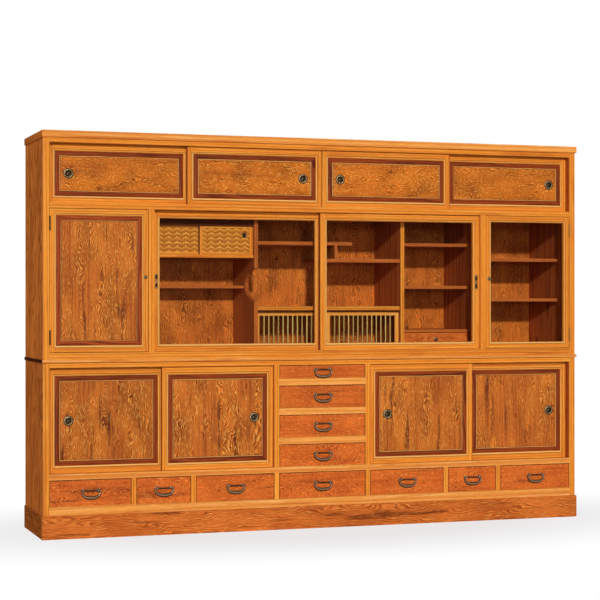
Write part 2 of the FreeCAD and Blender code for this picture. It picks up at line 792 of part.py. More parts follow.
left_solids, left_x, left_z = hinged_frame("left_hinged_door", -1)
left_panel_y = hinged_face + S.panel_recess
left_solids.append(
    board("left_hinged_door_panel", left_x, (left_panel_y, left_panel_y + S.panel_thickness), left_z))
subpart("left_hinged_door", left_solids)
right_solids, right_x, right_z = hinged_frame("right_hinged_door", 1)
subpart("right_hinged_door_frame", right_solids)
right_pane_y = hinged_face + S.pane_recess
right_pane = board("right_hinged_door_pane", right_x, (right_pane_y, right_pane_y + S.pane_thickness), right_z)
subpart("right_hinged_pane", [right_pane])
subpart("hinges", [
    fixed_half(f"{word}_{level}_fixed_hinge", side, centre)
    for word, side in (("left", -1), ("right", 1))
    for level, centre in hinge_centres.items()
])


# Small sliding doors of the display interior
def small_door_places(opening):
    """Width and left edges of a small pair of doors."""
    width = door_width(opening)
    return width, pair_places(opening, width)


small_tracks = (small_back_track, small_front_track)
woven_width, woven_places = small_door_places(woven_x)
woven_height = S.woven_opening + S.small_floor_groove + S.small_head_groove - S.small_lift_room
woven_pull_places = (S.woven_pull_inset, woven_width - S.woven_pull_inset)
for word, place, track, pull_x in zip(("left", "right"), woven_places, small_tracks, woven_pull_places):
    label = f"woven_door_{word}"
    panel_y = (S.small_door_thickness - S.woven_panel) / 2
    panel_plane = (panel_y, panel_y + S.woven_panel)
    woven_solids = door_frame(label, woven_width, woven_height, S.small_door_thickness, S.woven_frame, S.woven_frame)
    woven_solids.append(
        board(f"{label}_panel", (S.woven_frame, woven_width - S.woven_frame), panel_plane,
              (S.woven_frame, woven_height - S.woven_frame)))
    woven_solids.append(
        rod(f"{label}_pull", "y", pull_x, panel_y - S.woven_pull_proud, S.woven_pull_height,
            S.woven_pull_radius, S.woven_pull_proud))
    subpart(label, woven_solids, place, track, woven_floor - S.small_floor_groove)

lattice_width, lattice_places = small_door_places(centre_x)
lattice_height = S.lattice_opening - S.small_floor_groove + S.small_head_groove - S.small_lift_room
lattice_pitch = (lattice_width - S.lattice_frame * 2) / (LATTICE_BARS + 1)
bar_inset = (S.small_door_thickness - S.lattice_bar_depth) / 2
for word, place, track in zip(("left", "right"), lattice_places, small_tracks):
    label = f"lattice_door_{word}"
    lattice_solids = door_frame(
        label, lattice_width, lattice_height, S.small_door_thickness, S.lattice_frame, S.lattice_frame)
    for bar in range(1, LATTICE_BARS + 1):
        bar_low = S.lattice_frame + lattice_pitch * bar - S.lattice_bar / 2
        lattice_solids.append(
            board(f"{label}_bar_{bar}", (bar_low, bar_low + S.lattice_bar),
                  (bar_inset, bar_inset + S.lattice_bar_depth),
                  (S.lattice_frame, lattice_height - S.lattice_frame)))
    subpart(label, lattice_solids, place, track, lattice_sill_top)


# Drawers, each in its own frame: x from its centre, y from its face, z from its runner
def drawer_box(name, width, height, length):
    """Front, sides, back and bottom of a drawer."""
    half = width / 2 - S.drawer_gap
    inside = half - S.drawer_side
    side_z = (0, height - S.drawer_side_drop)
    bottom_z = (S.drawer_bottom_lift, S.drawer_bottom_lift + S.drawer_bottom)
    back_y = (length - S.drawer_back, length)
    return [
        board(f"{name}_front", (-half, half), (0, S.drawer_front), (S.drawer_gap, height - S.drawer_gap)),
        board(f"{name}_left", (-half, -inside), (S.drawer_front, length), side_z),
        board(f"{name}_right", (inside, half), (S.drawer_front, length), side_z),
        board(f"{name}_back", (-inside, inside), back_y, side_z),
        board(f"{name}_bottom", (-inside, inside), (S.drawer_front, back_y[0]), bottom_z),
    ]


pull_post_place = S.bail_half_width - S.bail_eye - S.bail_eye_gap - S.pull_post_radius
pin_end = pull_post_place - S.bail_pin_radius


def pull_posts(name, pull_z):
    """The two posts on a drawer front, bored for the pins of the bail."""
    posts = []
    for word, side in (("left", -1), ("right", 1)):
        post = joined(f"{name}_{word}_post_blank", [
            rod(f"{name}_{word}_plate", "y", pull_post_place * side, -S.pull_plate, pull_z,
                S.pull_plate_radius, S.pull_plate),
            rod(f"{name}_{word}_neck", "y", pull_post_place * side, -S.pull_post_length, pull_z,
                S.pull_post_radius, S.pull_post_length),
        ])
        bore_x = mirrored((pin_end - S.bail_pin_end_room, S.bail_half_width), side)
        bore = rod(f"{name}_{word}_bore", "x", bore_x[0], -S.bail_stand_off, pull_z,
                   S.bail_pin_radius + S.bail_pin_fit, bore_x[1] - bore_x[0])
        posts.append(cut(f"{name}_{word}_post", post, [bore]))
    return posts


def bail(label, x, y, z):
    """A half-oval bail round its two posts, hung on pins that point inwards along X from its eyes."""
    oval = doc.addObject("Part::Ellipse", f"{label}_oval")
    oval.Placement = FreeCAD.Placement(FreeCAD.Vector(), FreeCAD.Rotation(FreeCAD.Vector(1, 0, 0), 90))
    oval.Angle1 = 180
    oval.Angle2 = 360
    bind(oval, MajorRadius=S.bail_half_width, MinorRadius=S.bail_drop)
    wire_section = doc.addObject("Part::Circle", f"{label}_section")
    bind(wire_section, Radius=S.bail_wire, base_x=-S.bail_half_width)
    ring = doc.addObject("Part::Sweep", f"{label}_ring")
    ring.Sections = [wire_section]
    ring.Spine = (oval, ["Edge1"])
    ring.Solid = True
    pieces = [ring]
    for word, side in (("left", -1), ("right", 1)):
        pieces.append(ball(f"{label}_{word}_eye", S.bail_half_width * side, Formula(0), Formula(0), S.bail_eye))
        pin_x = mirrored((pin_end, S.bail_half_width), side)
        pieces.append(
            rod(f"{label}_{word}_pin", "x", pin_x[0], Formula(0), Formula(0),
                S.bail_pin_radius, S.bail_half_width - pin_end))
    subpart(label, [joined(f"{label}_wire", pieces)], x, y, z)


drawer_face = body_front + S.drawer_recess
drawer_length = back_panel[0] - S.drawer_back_room - drawer_face


def bailed_drawer(label, centre, width, floor, height):
    """A drawer of the lower cabinet and the bail on its front."""
    pull_z = height / 2 + S.bail_rise
    solids = drawer_box(label, width, height, drawer_length) + pull_posts(label, pull_z)
    subpart(label, solids, centre, drawer_face, floor)
    bail(f"{label}_bail", centre, drawer_face - S.bail_stand_off, floor + pull_z)


for number, (level, height) in enumerate(stack_levels, start=1):
    bailed_drawer(f"centre_drawer_{number}", Formula(0), S.stack_width, level, height)

half_divider = S.divider_thickness / 2
bay_edges = [-inner_half]
for centre in (-S.outer_divider_half, -S.inner_divider_half, -inner_post_half,
               inner_post_half, S.inner_divider_half, S.outer_divider_half):
    bay_edges += [centre - half_divider, centre + half_divider]
bay_edges.append(inner_half)
for number in range(1, len(bay_edges) // 2 + 1):
    low_edge, high_edge = bay_edges[2 * number - 2:2 * number]
    bailed_drawer(f"base_drawer_{number}", (low_edge + high_edge) / 2, high_edge - low_edge,
                  drawer_floor, S.base_drawer_opening)

inner_length = back_panel[0] - S.drawer_back_room - bay_front
inner_width = bay_x[1] - bay_x[0]
inner_solids = drawer_box("inner_drawer", inner_width, S.bay_drawer_opening, inner_length)
inner_solids.append(knob("inner_drawer_knob", Formula(0), Formula(0), S.bay_drawer_opening / 2))
subpart("inner_drawer", inner_solids, (bay_x[0] + bay_x[1]) / 2, bay_front, bay_floor_top)

# Build, check and write
doc.recompute()
failed = [obj.Name for obj in doc.Objects if "Invalid" in obj.State or "Error" in obj.State]
if failed:
    raise RuntimeError(f"failed objects: {failed}")
for part in subparts:
    if part.Shape.isNull() or not part.Shape.isValid():
        raise RuntimeError(f"bad shape: {part.Label}")
os.makedirs("parts", exist_ok=True)
for part in subparts:
    part.Shape.exportStep(os.path.join("parts", f"{part.Label}.step"))
print(f"{len(subparts)} sub-parts written")
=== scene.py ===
"""Finish and detail of a wide two-tier tea cabinet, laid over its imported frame.

X runs to the right, Y towards the back and Z up. Shapes are worked out in millimetres, with depths
measured from the cabinet's front plane where a name says so, and become metres when a mesh is made.
"""
import logging
import math
import zlib
from dataclasses import dataclass, field, fields
from enum import Enum

import bpy
import numpy as np
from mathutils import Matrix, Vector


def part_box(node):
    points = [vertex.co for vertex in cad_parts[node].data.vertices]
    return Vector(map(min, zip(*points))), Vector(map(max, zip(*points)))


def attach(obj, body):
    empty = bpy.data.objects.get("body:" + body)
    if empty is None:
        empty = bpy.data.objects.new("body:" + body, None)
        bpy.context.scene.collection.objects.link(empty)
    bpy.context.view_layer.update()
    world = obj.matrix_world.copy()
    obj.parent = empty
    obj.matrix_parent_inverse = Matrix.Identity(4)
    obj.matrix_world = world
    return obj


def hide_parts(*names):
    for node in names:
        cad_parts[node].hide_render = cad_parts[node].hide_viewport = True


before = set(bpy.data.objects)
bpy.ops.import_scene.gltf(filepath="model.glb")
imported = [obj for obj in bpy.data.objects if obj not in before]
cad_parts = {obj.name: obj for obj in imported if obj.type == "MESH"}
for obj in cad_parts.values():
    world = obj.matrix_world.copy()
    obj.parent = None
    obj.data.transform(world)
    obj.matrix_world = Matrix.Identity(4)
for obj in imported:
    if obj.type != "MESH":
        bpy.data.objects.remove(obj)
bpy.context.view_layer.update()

Array = np.ndarray
Colour = tuple[float, float, float, float]
Span = tuple[float, float]
Place = tuple[float, float, float]
MM = 0.001
LOG = logging.getLogger("tea_cabinet")


def srgb(*display: int) -> Colour:
    """Turn a display colour into linear light by the usual two-part display curve.

    Args:
        *display: Red, green and blue, 0 to 255.

    Returns:
        The colour as linear red, green, blue and a full alpha.
    """
    level = np.array(display) / 255.0
    linear = np.where(level <= 0.04045, level / 12.92, ((level + 0.055) / 1.055) ** 2.4)
    return (*linear.tolist(), 1.0)


class Axis(Enum):
    """The way a board's grain runs; the value is the roll that turns (across, through, along) into XYZ."""

    X = 1
    Y = 2
    Z = 0


class Slot(Enum):
    """Material slots of the record."""

    CARCASS = "carcass_wood"
    DOOR = "door_wood"
    DRAWER = "drawer_wood"
    PLINTH = "plinth_wood"
    INTERIOR = "interior_wood"
    WOVEN = "woven_wood"
    LATTICE = "lattice_wood"
    GLASS = "glass"
    BRONZE = "bronze"


class NodeSheet:
    """Adds nodes to one node tree and joins them."""

    def __init__(self, tree: bpy.types.NodeTree) -> None:
        """Keep the tree that the nodes go to."""
        self.tree = tree

    def add(self, kind: str, inputs: dict | None = None, **settings: object) -> bpy.types.Node:
        """Add one node.

        Args:
            kind: The node's type name.
            inputs: Values or sockets for its inputs, by name or number.
            **settings: Plain properties of the node.

        Returns:
            The new node.
        """
        node = self.tree.nodes.new(kind)
        for name, value in settings.items():
            setattr(node, name, value)
        for name, value in (inputs or {}).items():
            if isinstance(value, bpy.types.NodeSocket):
                self.tree.links.new(value, node.inputs[name])
            else:
                node.inputs[name].default_value = value
        return node

    def calc(self, operation: str, first: object, second: object = 0.0) -> bpy.types.NodeSocket:
        """One sum on two values; the result is the output socket."""
        return self.add("ShaderNodeMath", {0: first, 1: second}, operation=operation).outputs[0]

    def scaled(self, vector: object, factors: object) -> bpy.types.NodeSocket:
        """A vector times a vector of factors."""
        node = self.add("ShaderNodeVectorMath", {0: vector, 1: factors}, operation="MULTIPLY")
        return node.outputs[0]

    def step(self, value: object, low: float, high: float, to: Span = (0.0, 1.0)) -> bpy.types.NodeSocket:
        """A smooth step of a value from low to high."""
        inputs = {"Value": value, "From Min": low, "From Max": high, "To Min": to[0], "To Max": to[1]}
        return self.add("ShaderNodeMapRange", inputs, interpolation_type="SMOOTHSTEP").outputs[0]

    def noise(self, vector: object, scale: float, detail: float) -> bpy.types.NodeSocket:
        """Noise at a place, as a value round one half."""
        return self.add("ShaderNodeTexNoise", {"Vector": vector, "Scale": scale, "Detail": detail}).outputs[0]

    def mix(self, factor: object, first: object, second: object, blend: str = "MIX") -> bpy.types.NodeSocket:
        """Two colours mixed by a factor."""
        inputs = {0: factor, 6: first, 7: second}
        return self.add("ShaderNodeMix", inputs, data_type="RGBA", blend_type=blend).outputs[2]


def wood_group() -> bpy.types.NodeTree:
    """The grain of a board, read in metres along, across and through it.

    Growth rings are saw-tooth shells round the grain axis, bent by noise: a little noise gives straight
    grain, much noise gives the closed loops of burl. The figure gathers in bands along the grain, with
    straight, finely lined wood between them. Clouds, dark streaks, pale flecks on the rings and fine
    fibre are laid over it. A positive value of the point attribute for rubbing and painted light is a paler
    edge, from rubbing and from painted highlight; a negative value is a darker hollow, painted shade.

    Returns:
        The group "wood_surface".
    """
    tree = bpy.data.node_groups.new("wood_surface", "ShaderNodeTree")
    sockets = {
        ("INPUT", "Vector"): ("Grain",),
        ("INPUT", "Color"): ("Early", "Late", "Streak", "Fleck", "Plain"),
        ("INPUT", "Float"): ("Tone", "Wear", "Stretch", "Ring Scale", "Swirl", "Swirl Size", "Streaks",
                             "Flecks", "Bands"),
        ("OUTPUT", "Color"): ("Color",),
        ("OUTPUT", "Float"): ("Roughness", "Height"),
    }
    for (way, kind), names in sockets.items():
        for name in names:
            tree.interface.new_socket(name, in_out=way, socket_type=f"NodeSocket{kind}")
    sheet = NodeSheet(tree)
    given = sheet.add("NodeGroupInput").outputs
    grain = given["Grain"]
    stretch = sheet.add("ShaderNodeCombineXYZ", {"X": given["Stretch"], "Y": 1.0, "Z": 1.0}).outputs[0]
    flow = sheet.scaled(grain, stretch)
    saw = sheet.add(
        "ShaderNodeTexWave",
        {"Vector": flow, "Scale": given["Ring Scale"], "Distortion": given["Swirl"], "Detail": 1.6,
         "Detail Scale": given["Swirl Size"], "Detail Roughness": 0.45},
        wave_type="RINGS", rings_direction="X", wave_profile="SAW").outputs["Fac"]
    late = sheet.step(saw, 0.3, 0.9)
    clouds = sheet.noise(flow, 13.0, 3.0)
    fibre = sheet.noise(sheet.scaled(grain, (28.0, 760.0, 760.0)), 1.0, 2.0)
    between = sheet.step(sheet.noise(sheet.scaled(grain, (2.2, 11.0, 11.0)), 1.0, 2.0), 0.42, 0.62)
    plain = sheet.calc("MULTIPLY", given["Bands"], between)
    figured = sheet.calc("SUBTRACT", 1.0, plain)
    streak = sheet.step(sheet.noise(sheet.scaled(grain, (3.6, 44.0, 44.0)), 1.0, 3.0), 0.57, 0.71)
    spots = sheet.step(sheet.noise(flow, 120.0, 1.0), 0.50, 0.66)
    cloudiness = sheet.calc("MULTIPLY", sheet.calc("SUBTRACT", clouds, 0.42), 1.3)
    shade = sheet.calc("ADD", sheet.calc("MULTIPLY", late, 0.62), cloudiness)
    depth = sheet.add("ShaderNodeClamp", {"Value": shade}).outputs[0]
    colour = sheet.mix(depth, given["Early"], given["Late"])
    comb = sheet.step(sheet.noise(sheet.scaled(grain, (3.0, 130.0, 130.0)), 1.0, 2.0), 0.36, 0.64)
    straight = sheet.mix(0.5, given["Plain"], sheet.mix(comb, given["Late"], given["Early"]))
    colour = sheet.mix(sheet.calc("MULTIPLY", plain, 0.85), colour, straight)
    colour = sheet.mix(sheet.calc("MULTIPLY", streak, given["Streaks"]), colour, given["Streak"])
    early = sheet.calc("SUBTRACT", 1.0, late)
    pale = sheet.calc("MULTIPLY", early, sheet.calc("MULTIPLY", figured, given["Flecks"]))
    colour = sheet.mix(sheet.calc("MULTIPLY", spots, pale), colour, given["Fleck"])
    level = sheet.calc("ADD", sheet.step(fibre, 0.25, 0.75, (0.84, 1.12)), given["Tone"])
    grey = sheet.add("ShaderNodeCombineColor", {0: level, 1: level, 2: level}).outputs[0]
    colour = sheet.mix(1.0, colour, grey, "MULTIPLY")
    colour = sheet.mix(sheet.calc("MULTIPLY", given["Wear"], 0.45), colour, given["Fleck"])
    colour = sheet.mix(sheet.calc("MULTIPLY", given["Wear"], -0.8), colour, given["Streak"])
    polish = sheet.step(fibre, 0.2, 0.8, (0.30, 0.44))
    roughness = sheet.calc("ADD", sheet.calc("MULTIPLY", late, 0.10), polish)
    height = sheet.calc("ADD", sheet.calc("MULTIPLY", fibre, 0.7), sheet.calc("MULTIPLY", late, 0.5))
    sheet.add("NodeGroupOutput", {"Color": colour, "Roughness": roughness, "Height": height})
    return tree


@dataclass(frozen=True)
class Finish:
    """A finish with a name of its own; its material is made once."""

    name: str

    def material(self) -> bpy.types.Material:
        """Make the finish's material, or find the one made before.

        Returns:
            The material.
        """
        found = bpy.data.materials.get(self.name)
        if found:
            return found
        made = bpy.data.materials.new(self.name)
        made.use_nodes = True
        made.node_tree.nodes.clear()
        sheet = NodeSheet(made.node_tree)
        shader = self.shader(sheet)
        sheet.add("ShaderNodeOutputMaterial", {"Surface": shader})
        return made

    def shader(self, sheet: NodeSheet) -> bpy.types.NodeSocket:
        """The shader's output socket; each kind of finish has its own."""
        raise NotImplementedError


@dataclass(frozen=True)
class Wood(Finish):
    """A lacquered wood: its colours and its figure."""

    early: Colour
    late: Colour
    streak: Colour
    fleck: Colour
    plain: Colour = srgb(200, 100, 40)
    stretch: float = 0.07
    ring_scale: float = 55.0
    swirl: float = 7.0
    swirl_size: float = 0.16
    streaks: float = 0.25
    flecks: float = 0.25
    bands: float = 0.0
    gloss: float = 0.06

    def shader(self, sheet: NodeSheet) -> bpy.types.NodeSocket:
        """Principled wood whose colour, gloss and pores come from the shared grain group.

        The fields between name and gloss set the group's inputs of the same names.

        Args:
            sheet: Nodes of the material.

        Returns:
            The shader's output socket.
        """
        tree = bpy.data.node_groups.get("wood_surface") or wood_group()
        inputs = {entry.name.replace("_", " ").title(): getattr(self, entry.name)
                  for entry in fields(self)[1:-1]}
        for key, output in (("grain", "Vector"), ("tone", "Fac"), ("wear", "Fac")):
            inputs[key.title()] = sheet.add("ShaderNodeAttribute", attribute_name=key).outputs[output]
        figure = sheet.add("ShaderNodeGroup", inputs, node_tree=tree)
        height = figure.outputs["Height"]
        bump = sheet.add("ShaderNodeBump", {"Strength": 0.12, "Distance": 0.0005, "Height": height})
        return sheet.add("ShaderNodeBsdfPrincipled", {
            "Base Color": figure.outputs["Color"],
            "Roughness": figure.outputs["Roughness"],
            "Normal": bump.outputs[0],
            "Specular IOR Level": self.gloss,
        }).outputs[0]


@dataclass(frozen=True)
class Bronze(Finish):
    """Old metal: a mottled patina, bare on its worn edges and nearly black in the hollows; the bare and
    hollow colours also serve as painted highlight and painted shade.
    """

    metal: Colour
    patina: Colour
    bare: Colour
    hollow: Colour

    def shader(self, sheet: NodeSheet) -> bpy.types.NodeSocket:
        """Principled metal that goes from its bare colour, for worn edges and painted highlights, at one, to
        its hollow colour, for dark hollows and painted shade, at minus one.

        Args:
            sheet: Nodes of the material.

        Returns:
            The shader's output socket.
        """
        place = sheet.add("ShaderNodeTexCoord").outputs["Object"]
        wear = sheet.add("ShaderNodeAttribute", attribute_name="wear").outputs["Fac"]
        mottle = sheet.noise(place, 420.0, 4.0)
        cover = sheet.step(mottle, 0.38, 0.66)
        colour = sheet.mix(cover, self.metal, self.patina)
        colour = sheet.mix(sheet.calc("MULTIPLY", wear, 0.7), colour, self.bare)
        colour = sheet.mix(sheet.calc("MULTIPLY", wear, -1.0), colour, self.hollow)
        roughness = sheet.step(mottle, 0.3, 0.7, (0.30, 0.52))
        metallic = sheet.step(cover, 0.0, 1.0, (1.0, 0.65))
        bump = sheet.add("ShaderNodeBump", {"Strength": 0.15, "Distance": 0.0003, "Height": mottle})
        return sheet.add("ShaderNodeBsdfPrincipled", {
            "Base Color": colour,
            "Metallic": metallic,
            "Roughness": roughness,
            "Normal": bump.outputs[0],
        }).outputs[0]


@dataclass(frozen=True)
class Glass(Finish):
    """Clear window glass that lets the lamps through."""

    tint: Colour

    def shader(self, sheet: NodeSheet) -> bpy.types.NodeSocket:
        """Principled glass with faint wiping marks, clear to light on its way to and from the wood.

        Args:
            sheet: Nodes of the material.

        Returns:
            The shader's output socket.
        """
        place = sheet.add("ShaderNodeTexCoord").outputs["Object"]
        marks = sheet.noise(sheet.scaled(place, (3.0, 3.0, 9.0)), 1.0, 3.0)
        glass = sheet.add("ShaderNodeBsdfPrincipled", {
            "Base Color": self.tint,
            "Roughness": sheet.step(marks, 0.45, 0.75, (0.0, 0.03)),
            "IOR": 1.05,
            "Transmission Weight": 1.0,
        }).outputs[0]
        clear = sheet.add("ShaderNodeBsdfTransparent", {"Color": self.tint}).outputs[0]
        path = sheet.add("ShaderNodeLightPath").outputs
        passing = sheet.calc("MAXIMUM", path["Is Shadow Ray"], path["Is Diffuse Ray"])
        return sheet.add("ShaderNodeMixShader", {0: passing, 1: glass, 2: clear}).outputs[0]


FRAME_WOOD = Wood(
    "golden_frame_wood", srgb(240, 151, 50), srgb(204, 104, 30), srgb(172, 76, 24), srgb(254, 190, 88),
    srgb(224, 125, 38), stretch=0.03, ring_scale=26.0, swirl=11.0, swirl_size=0.35, streaks=0.4, flecks=0.3,
    bands=0.5)
EDGE_WOOD = Wood(
    "board_edge_wood", srgb(244, 162, 74), srgb(216, 124, 52), srgb(186, 92, 36), srgb(255, 204, 130),
    srgb(230, 142, 62), stretch=0.04, ring_scale=13.0, swirl=12.0, swirl_size=0.5, streaks=0.5, flecks=0.4,
    bands=0.4, gloss=0.0)
BEAD_WOOD = Wood(
    "rubbed_bead_wood", srgb(240, 158, 62), srgb(218, 128, 46), srgb(116, 58, 22), srgb(255, 212, 128),
    streaks=0.0)
BORDER_WOOD = Wood(
    "dark_border_wood", srgb(160, 69, 25), srgb(84, 30, 14), srgb(58, 23, 13), srgb(176, 88, 36),
    stretch=0.16, ring_scale=40.0, swirl=16.0, swirl_size=0.4, streaks=0.6, flecks=0.3)
LIGHT_LINE = Wood(
    "pale_inlay", srgb(246, 186, 100), srgb(226, 156, 76), srgb(194, 122, 54), srgb(252, 208, 132))
# Dark wood for the inlaid lines, also used as painted shade on the waist board's ends, the waist seam, the
# head boards, the drawer edge lines and the woven doors' lapping edge.
DARK_INLAY_AND_SHADE = Wood(
    "dark_inlay", srgb(92, 42, 24), srgb(62, 28, 18), srgb(46, 22, 14), srgb(120, 60, 34), gloss=0.0)
LOWER_FIELD = Wood(
    "lower_door_burl", srgb(224, 125, 43), srgb(90, 33, 14), srgb(78, 30, 18), srgb(248, 178, 84),
    srgb(172, 76, 32), stretch=0.5, ring_scale=50.0, swirl=34.0, swirl_size=0.42, streaks=0.75, flecks=0.6,
    bands=0.75)
TOP_FIELD = Wood(
    "top_door_burl", srgb(228, 124, 35), srgb(92, 34, 11), srgb(98, 42, 14), srgb(250, 182, 80),
    srgb(190, 92, 29), stretch=0.8, ring_scale=50.0, swirl=34.0, swirl_size=0.42, streaks=0.35, flecks=0.6,
    bands=0.35)
SIDE_WOOD = Wood(
    "side_veneer", srgb(252, 142, 57), srgb(156, 70, 26), srgb(118, 52, 22), srgb(252, 162, 78),
    stretch=0.16, ring_scale=62.0, swirl=28.0, swirl_size=0.3, streaks=0.5, flecks=0.3, bands=0.3, gloss=0.0)
DRAWER_WOOD = Wood(
    "drawer_burl", srgb(230, 116, 42), srgb(138, 49, 17), srgb(84, 32, 19), srgb(246, 156, 70),
    srgb(206, 94, 34), stretch=0.55, ring_scale=84.0, swirl=42.0, swirl_size=0.4, streaks=0.5, flecks=0.5,
    bands=0.5)
PLINTH_WOOD = Wood(
    "plinth_burl", srgb(228, 124, 50), srgb(136, 58, 20), srgb(88, 38, 18), srgb(244, 166, 84),
    srgb(192, 90, 38), stretch=0.3, ring_scale=44.0, swirl=32.0, swirl_size=0.42, streaks=0.65, flecks=0.4,
    bands=0.6, gloss=0.0)
INTERIOR_WOOD = Wood(
    "interior_veneer", srgb(184, 90, 39), srgb(136, 60, 27), srgb(92, 38, 18), srgb(206, 118, 52),
    stretch=0.12, ring_scale=26.0, swirl=12.0, swirl_size=0.4, streaks=0.4, flecks=0.3)
SHELF_EDGE = Wood(
    "shelf_edge_wood", srgb(190, 100, 40), srgb(148, 68, 27), srgb(110, 48, 22), srgb(216, 132, 60))
BACK_WOOD = Wood(
    "interior_burl", srgb(228, 122, 42), srgb(78, 29, 12), srgb(76, 32, 16), srgb(244, 160, 68),
    srgb(182, 84, 30), stretch=0.8, ring_scale=44.0, swirl=34.0, swirl_size=0.42, streaks=0.3, flecks=0.5,
    bands=0.4)
PLY_WOOD = Wood(
    "back_plywood", srgb(206, 160, 104), srgb(178, 128, 76), srgb(150, 104, 60), srgb(224, 184, 130))
BOX_WOOD = Wood(
    "drawer_box_wood", srgb(222, 186, 134), srgb(196, 154, 102), srgb(176, 132, 84), srgb(236, 206, 160))
WOVEN_WOOD = Wood(
    "woven_strip_wood", srgb(228, 142, 42), srgb(202, 116, 32), srgb(96, 42, 14), srgb(255, 210, 104))
# The uprights are darker than the level strips: painted shade on the uprights.
WOVEN_UPRIGHT = Wood(
    "woven_upright_wood", srgb(184, 103, 34), srgb(156, 83, 26), srgb(104, 46, 15), srgb(214, 132, 48))
LATTICE_WOOD = Wood(
    "lattice_bar_wood", srgb(200, 168, 92), srgb(170, 132, 66), srgb(138, 100, 48), srgb(224, 196, 124))
BRONZE = Bronze(
    "patinated_bronze", srgb(104, 78, 50), srgb(54, 40, 26), srgb(178, 152, 108), srgb(34, 26, 16))
BRASS = Bronze("aged_brass", srgb(158, 108, 52), srgb(112, 76, 36), srgb(190, 142, 82), srgb(40, 19, 8))
BAIL_BRONZE = Bronze(
    "dark_bail_bronze", srgb(84, 57, 37), srgb(42, 27, 17), srgb(178, 148, 116), srgb(24, 16, 11))
# Hinge metal in painted shade; the right hinges take the brass as its lit copy.
DARK_BRONZE = Bronze(
    "dark_hinge_bronze", srgb(44, 32, 20), srgb(25, 18, 12), srgb(86, 66, 42), srgb(11, 8, 6))
GLASS = Glass("cabinet_glass", (0.97, 0.985, 0.975, 1.0))


@dataclass
class Surface:
    """One closed shape in millimetres with what its finish reads.

    points, grain and wear have one row for each point; faces are blocks of equal-sized index rows.
    """

    points: Array
    faces: list[Array]
    finish: Finish
    grain: Array
    wear: Array
    tone: float = 0.0

    def __post_init__(self) -> None:
        """Turn the faces outwards.

        The shape's volume is a sixth of the sum of a . (b x c) over the triangles of the faces' fans. It is
        below zero when the faces look inwards.
        """
        volume = 0.0
        middle = self.points.mean(0)
        for block in self.faces:
            corner = self.points[block] - middle
            volume += np.einsum("ik,ijk->", corner[:, 0], np.cross(corner[:, 1:-1], corner[:, 2:]))
        if volume < 0:
            self.faces = [block[:, ::-1] for block in self.faces]


def grid_faces(rows: int, columns: int, close_rows: bool = False) -> Array:
    """Four-sided faces of a grid whose columns close on themselves.

    Args:
        rows: Number of rings.
        columns: Number of points in a ring.
        close_rows: Whether the last ring joins the first.

    Returns:
        Index rows, each from its ring to the next.
    """
    row, column = np.meshgrid(np.arange(rows if close_rows else rows - 1), np.arange(columns), indexing="ij")
    below = row * columns
    above = (row + 1) % rows * columns
    beside = (column + 1) % columns
    return np.stack([below + column, below + beside, above + beside, above + column], -1).reshape(-1, 4)


def ring_surface(rings: Array, finish: Finish, grain: Array, wear: Array, tone: float = 0.0) -> Surface:
    """Close a stack of rings with a cap at each end.

    Args:
        rings: Points, one row of the array for each ring.
        finish: The finish.
        grain: Grain places with the shape of rings.
        wear: Wear of each point of each ring.
        tone: How much lighter or darker than its finish the shape is.

    Returns:
        The closed surface.
    """
    count, size, _ = rings.shape
    caps = np.stack([np.arange(size)[::-1], np.arange(size) + (count - 1) * size])
    return Surface(rings.reshape(-1, 3), [grid_faces(count, size), caps], finish,
                   grain.reshape(-1, 3), wear.reshape(-1), tone)


def unit(vectors: Array) -> Array:
    """Vectors brought to a length of one; those of no length stay as they are."""
    return vectors / np.maximum(np.linalg.norm(vectors, axis=1, keepdims=True), 1e-12)


def eased_outline(corners: Array, ease: float) -> Array:
    """Round the corners of an outline by a parabola that touches both sides at the ease distance.

    Args:
        corners: Corner points, counter-clockwise.
        ease: Distance from a corner at which the rounding starts.

    Returns:
        Three points for each corner, in order.
    """
    before = np.roll(corners, 1, 0) - corners
    after = np.roll(corners, -1, 0) - corners
    start = corners + unit(before) * ease
    end = corners + unit(after) * ease
    middle = start / 4 + corners / 2 + end / 4
    return np.stack([start, middle, end], 1).reshape(-1, 2)


def outline_normals(outline: Array) -> Array:
    """Outward unit normals of a counter-clockwise outline: its tangents turned clockwise."""
    tangent = np.roll(outline, -1, 0) - np.roll(outline, 1, 0)
    return unit(np.stack([tangent[:, 1], -tangent[:, 0]], 1))


class Grain:
    """Gives each board its own place in the log and its own tone, the same on every run."""

    def __init__(self, name: str) -> None:
        """Seed the places from a piece's name."""
        self.source = np.random.default_rng(zlib.crc32(name.encode()))

    def place(self) -> Array:
        """A shift in metres along, across and through the grain, off the heart of the log."""
        return self.source.uniform((-4.0, 0.06, 0.05), (4.0, 0.40, 0.30)) * (1, self.sign(), self.sign())

    def sign(self) -> int:
        """One or minus one."""
        return 1 if self.source.random() < 0.5 else -1

    def tone(self, spread: float = 0.05) -> float:
        """A small change of lightness."""
        return float(self.source.uniform(-spread, spread))


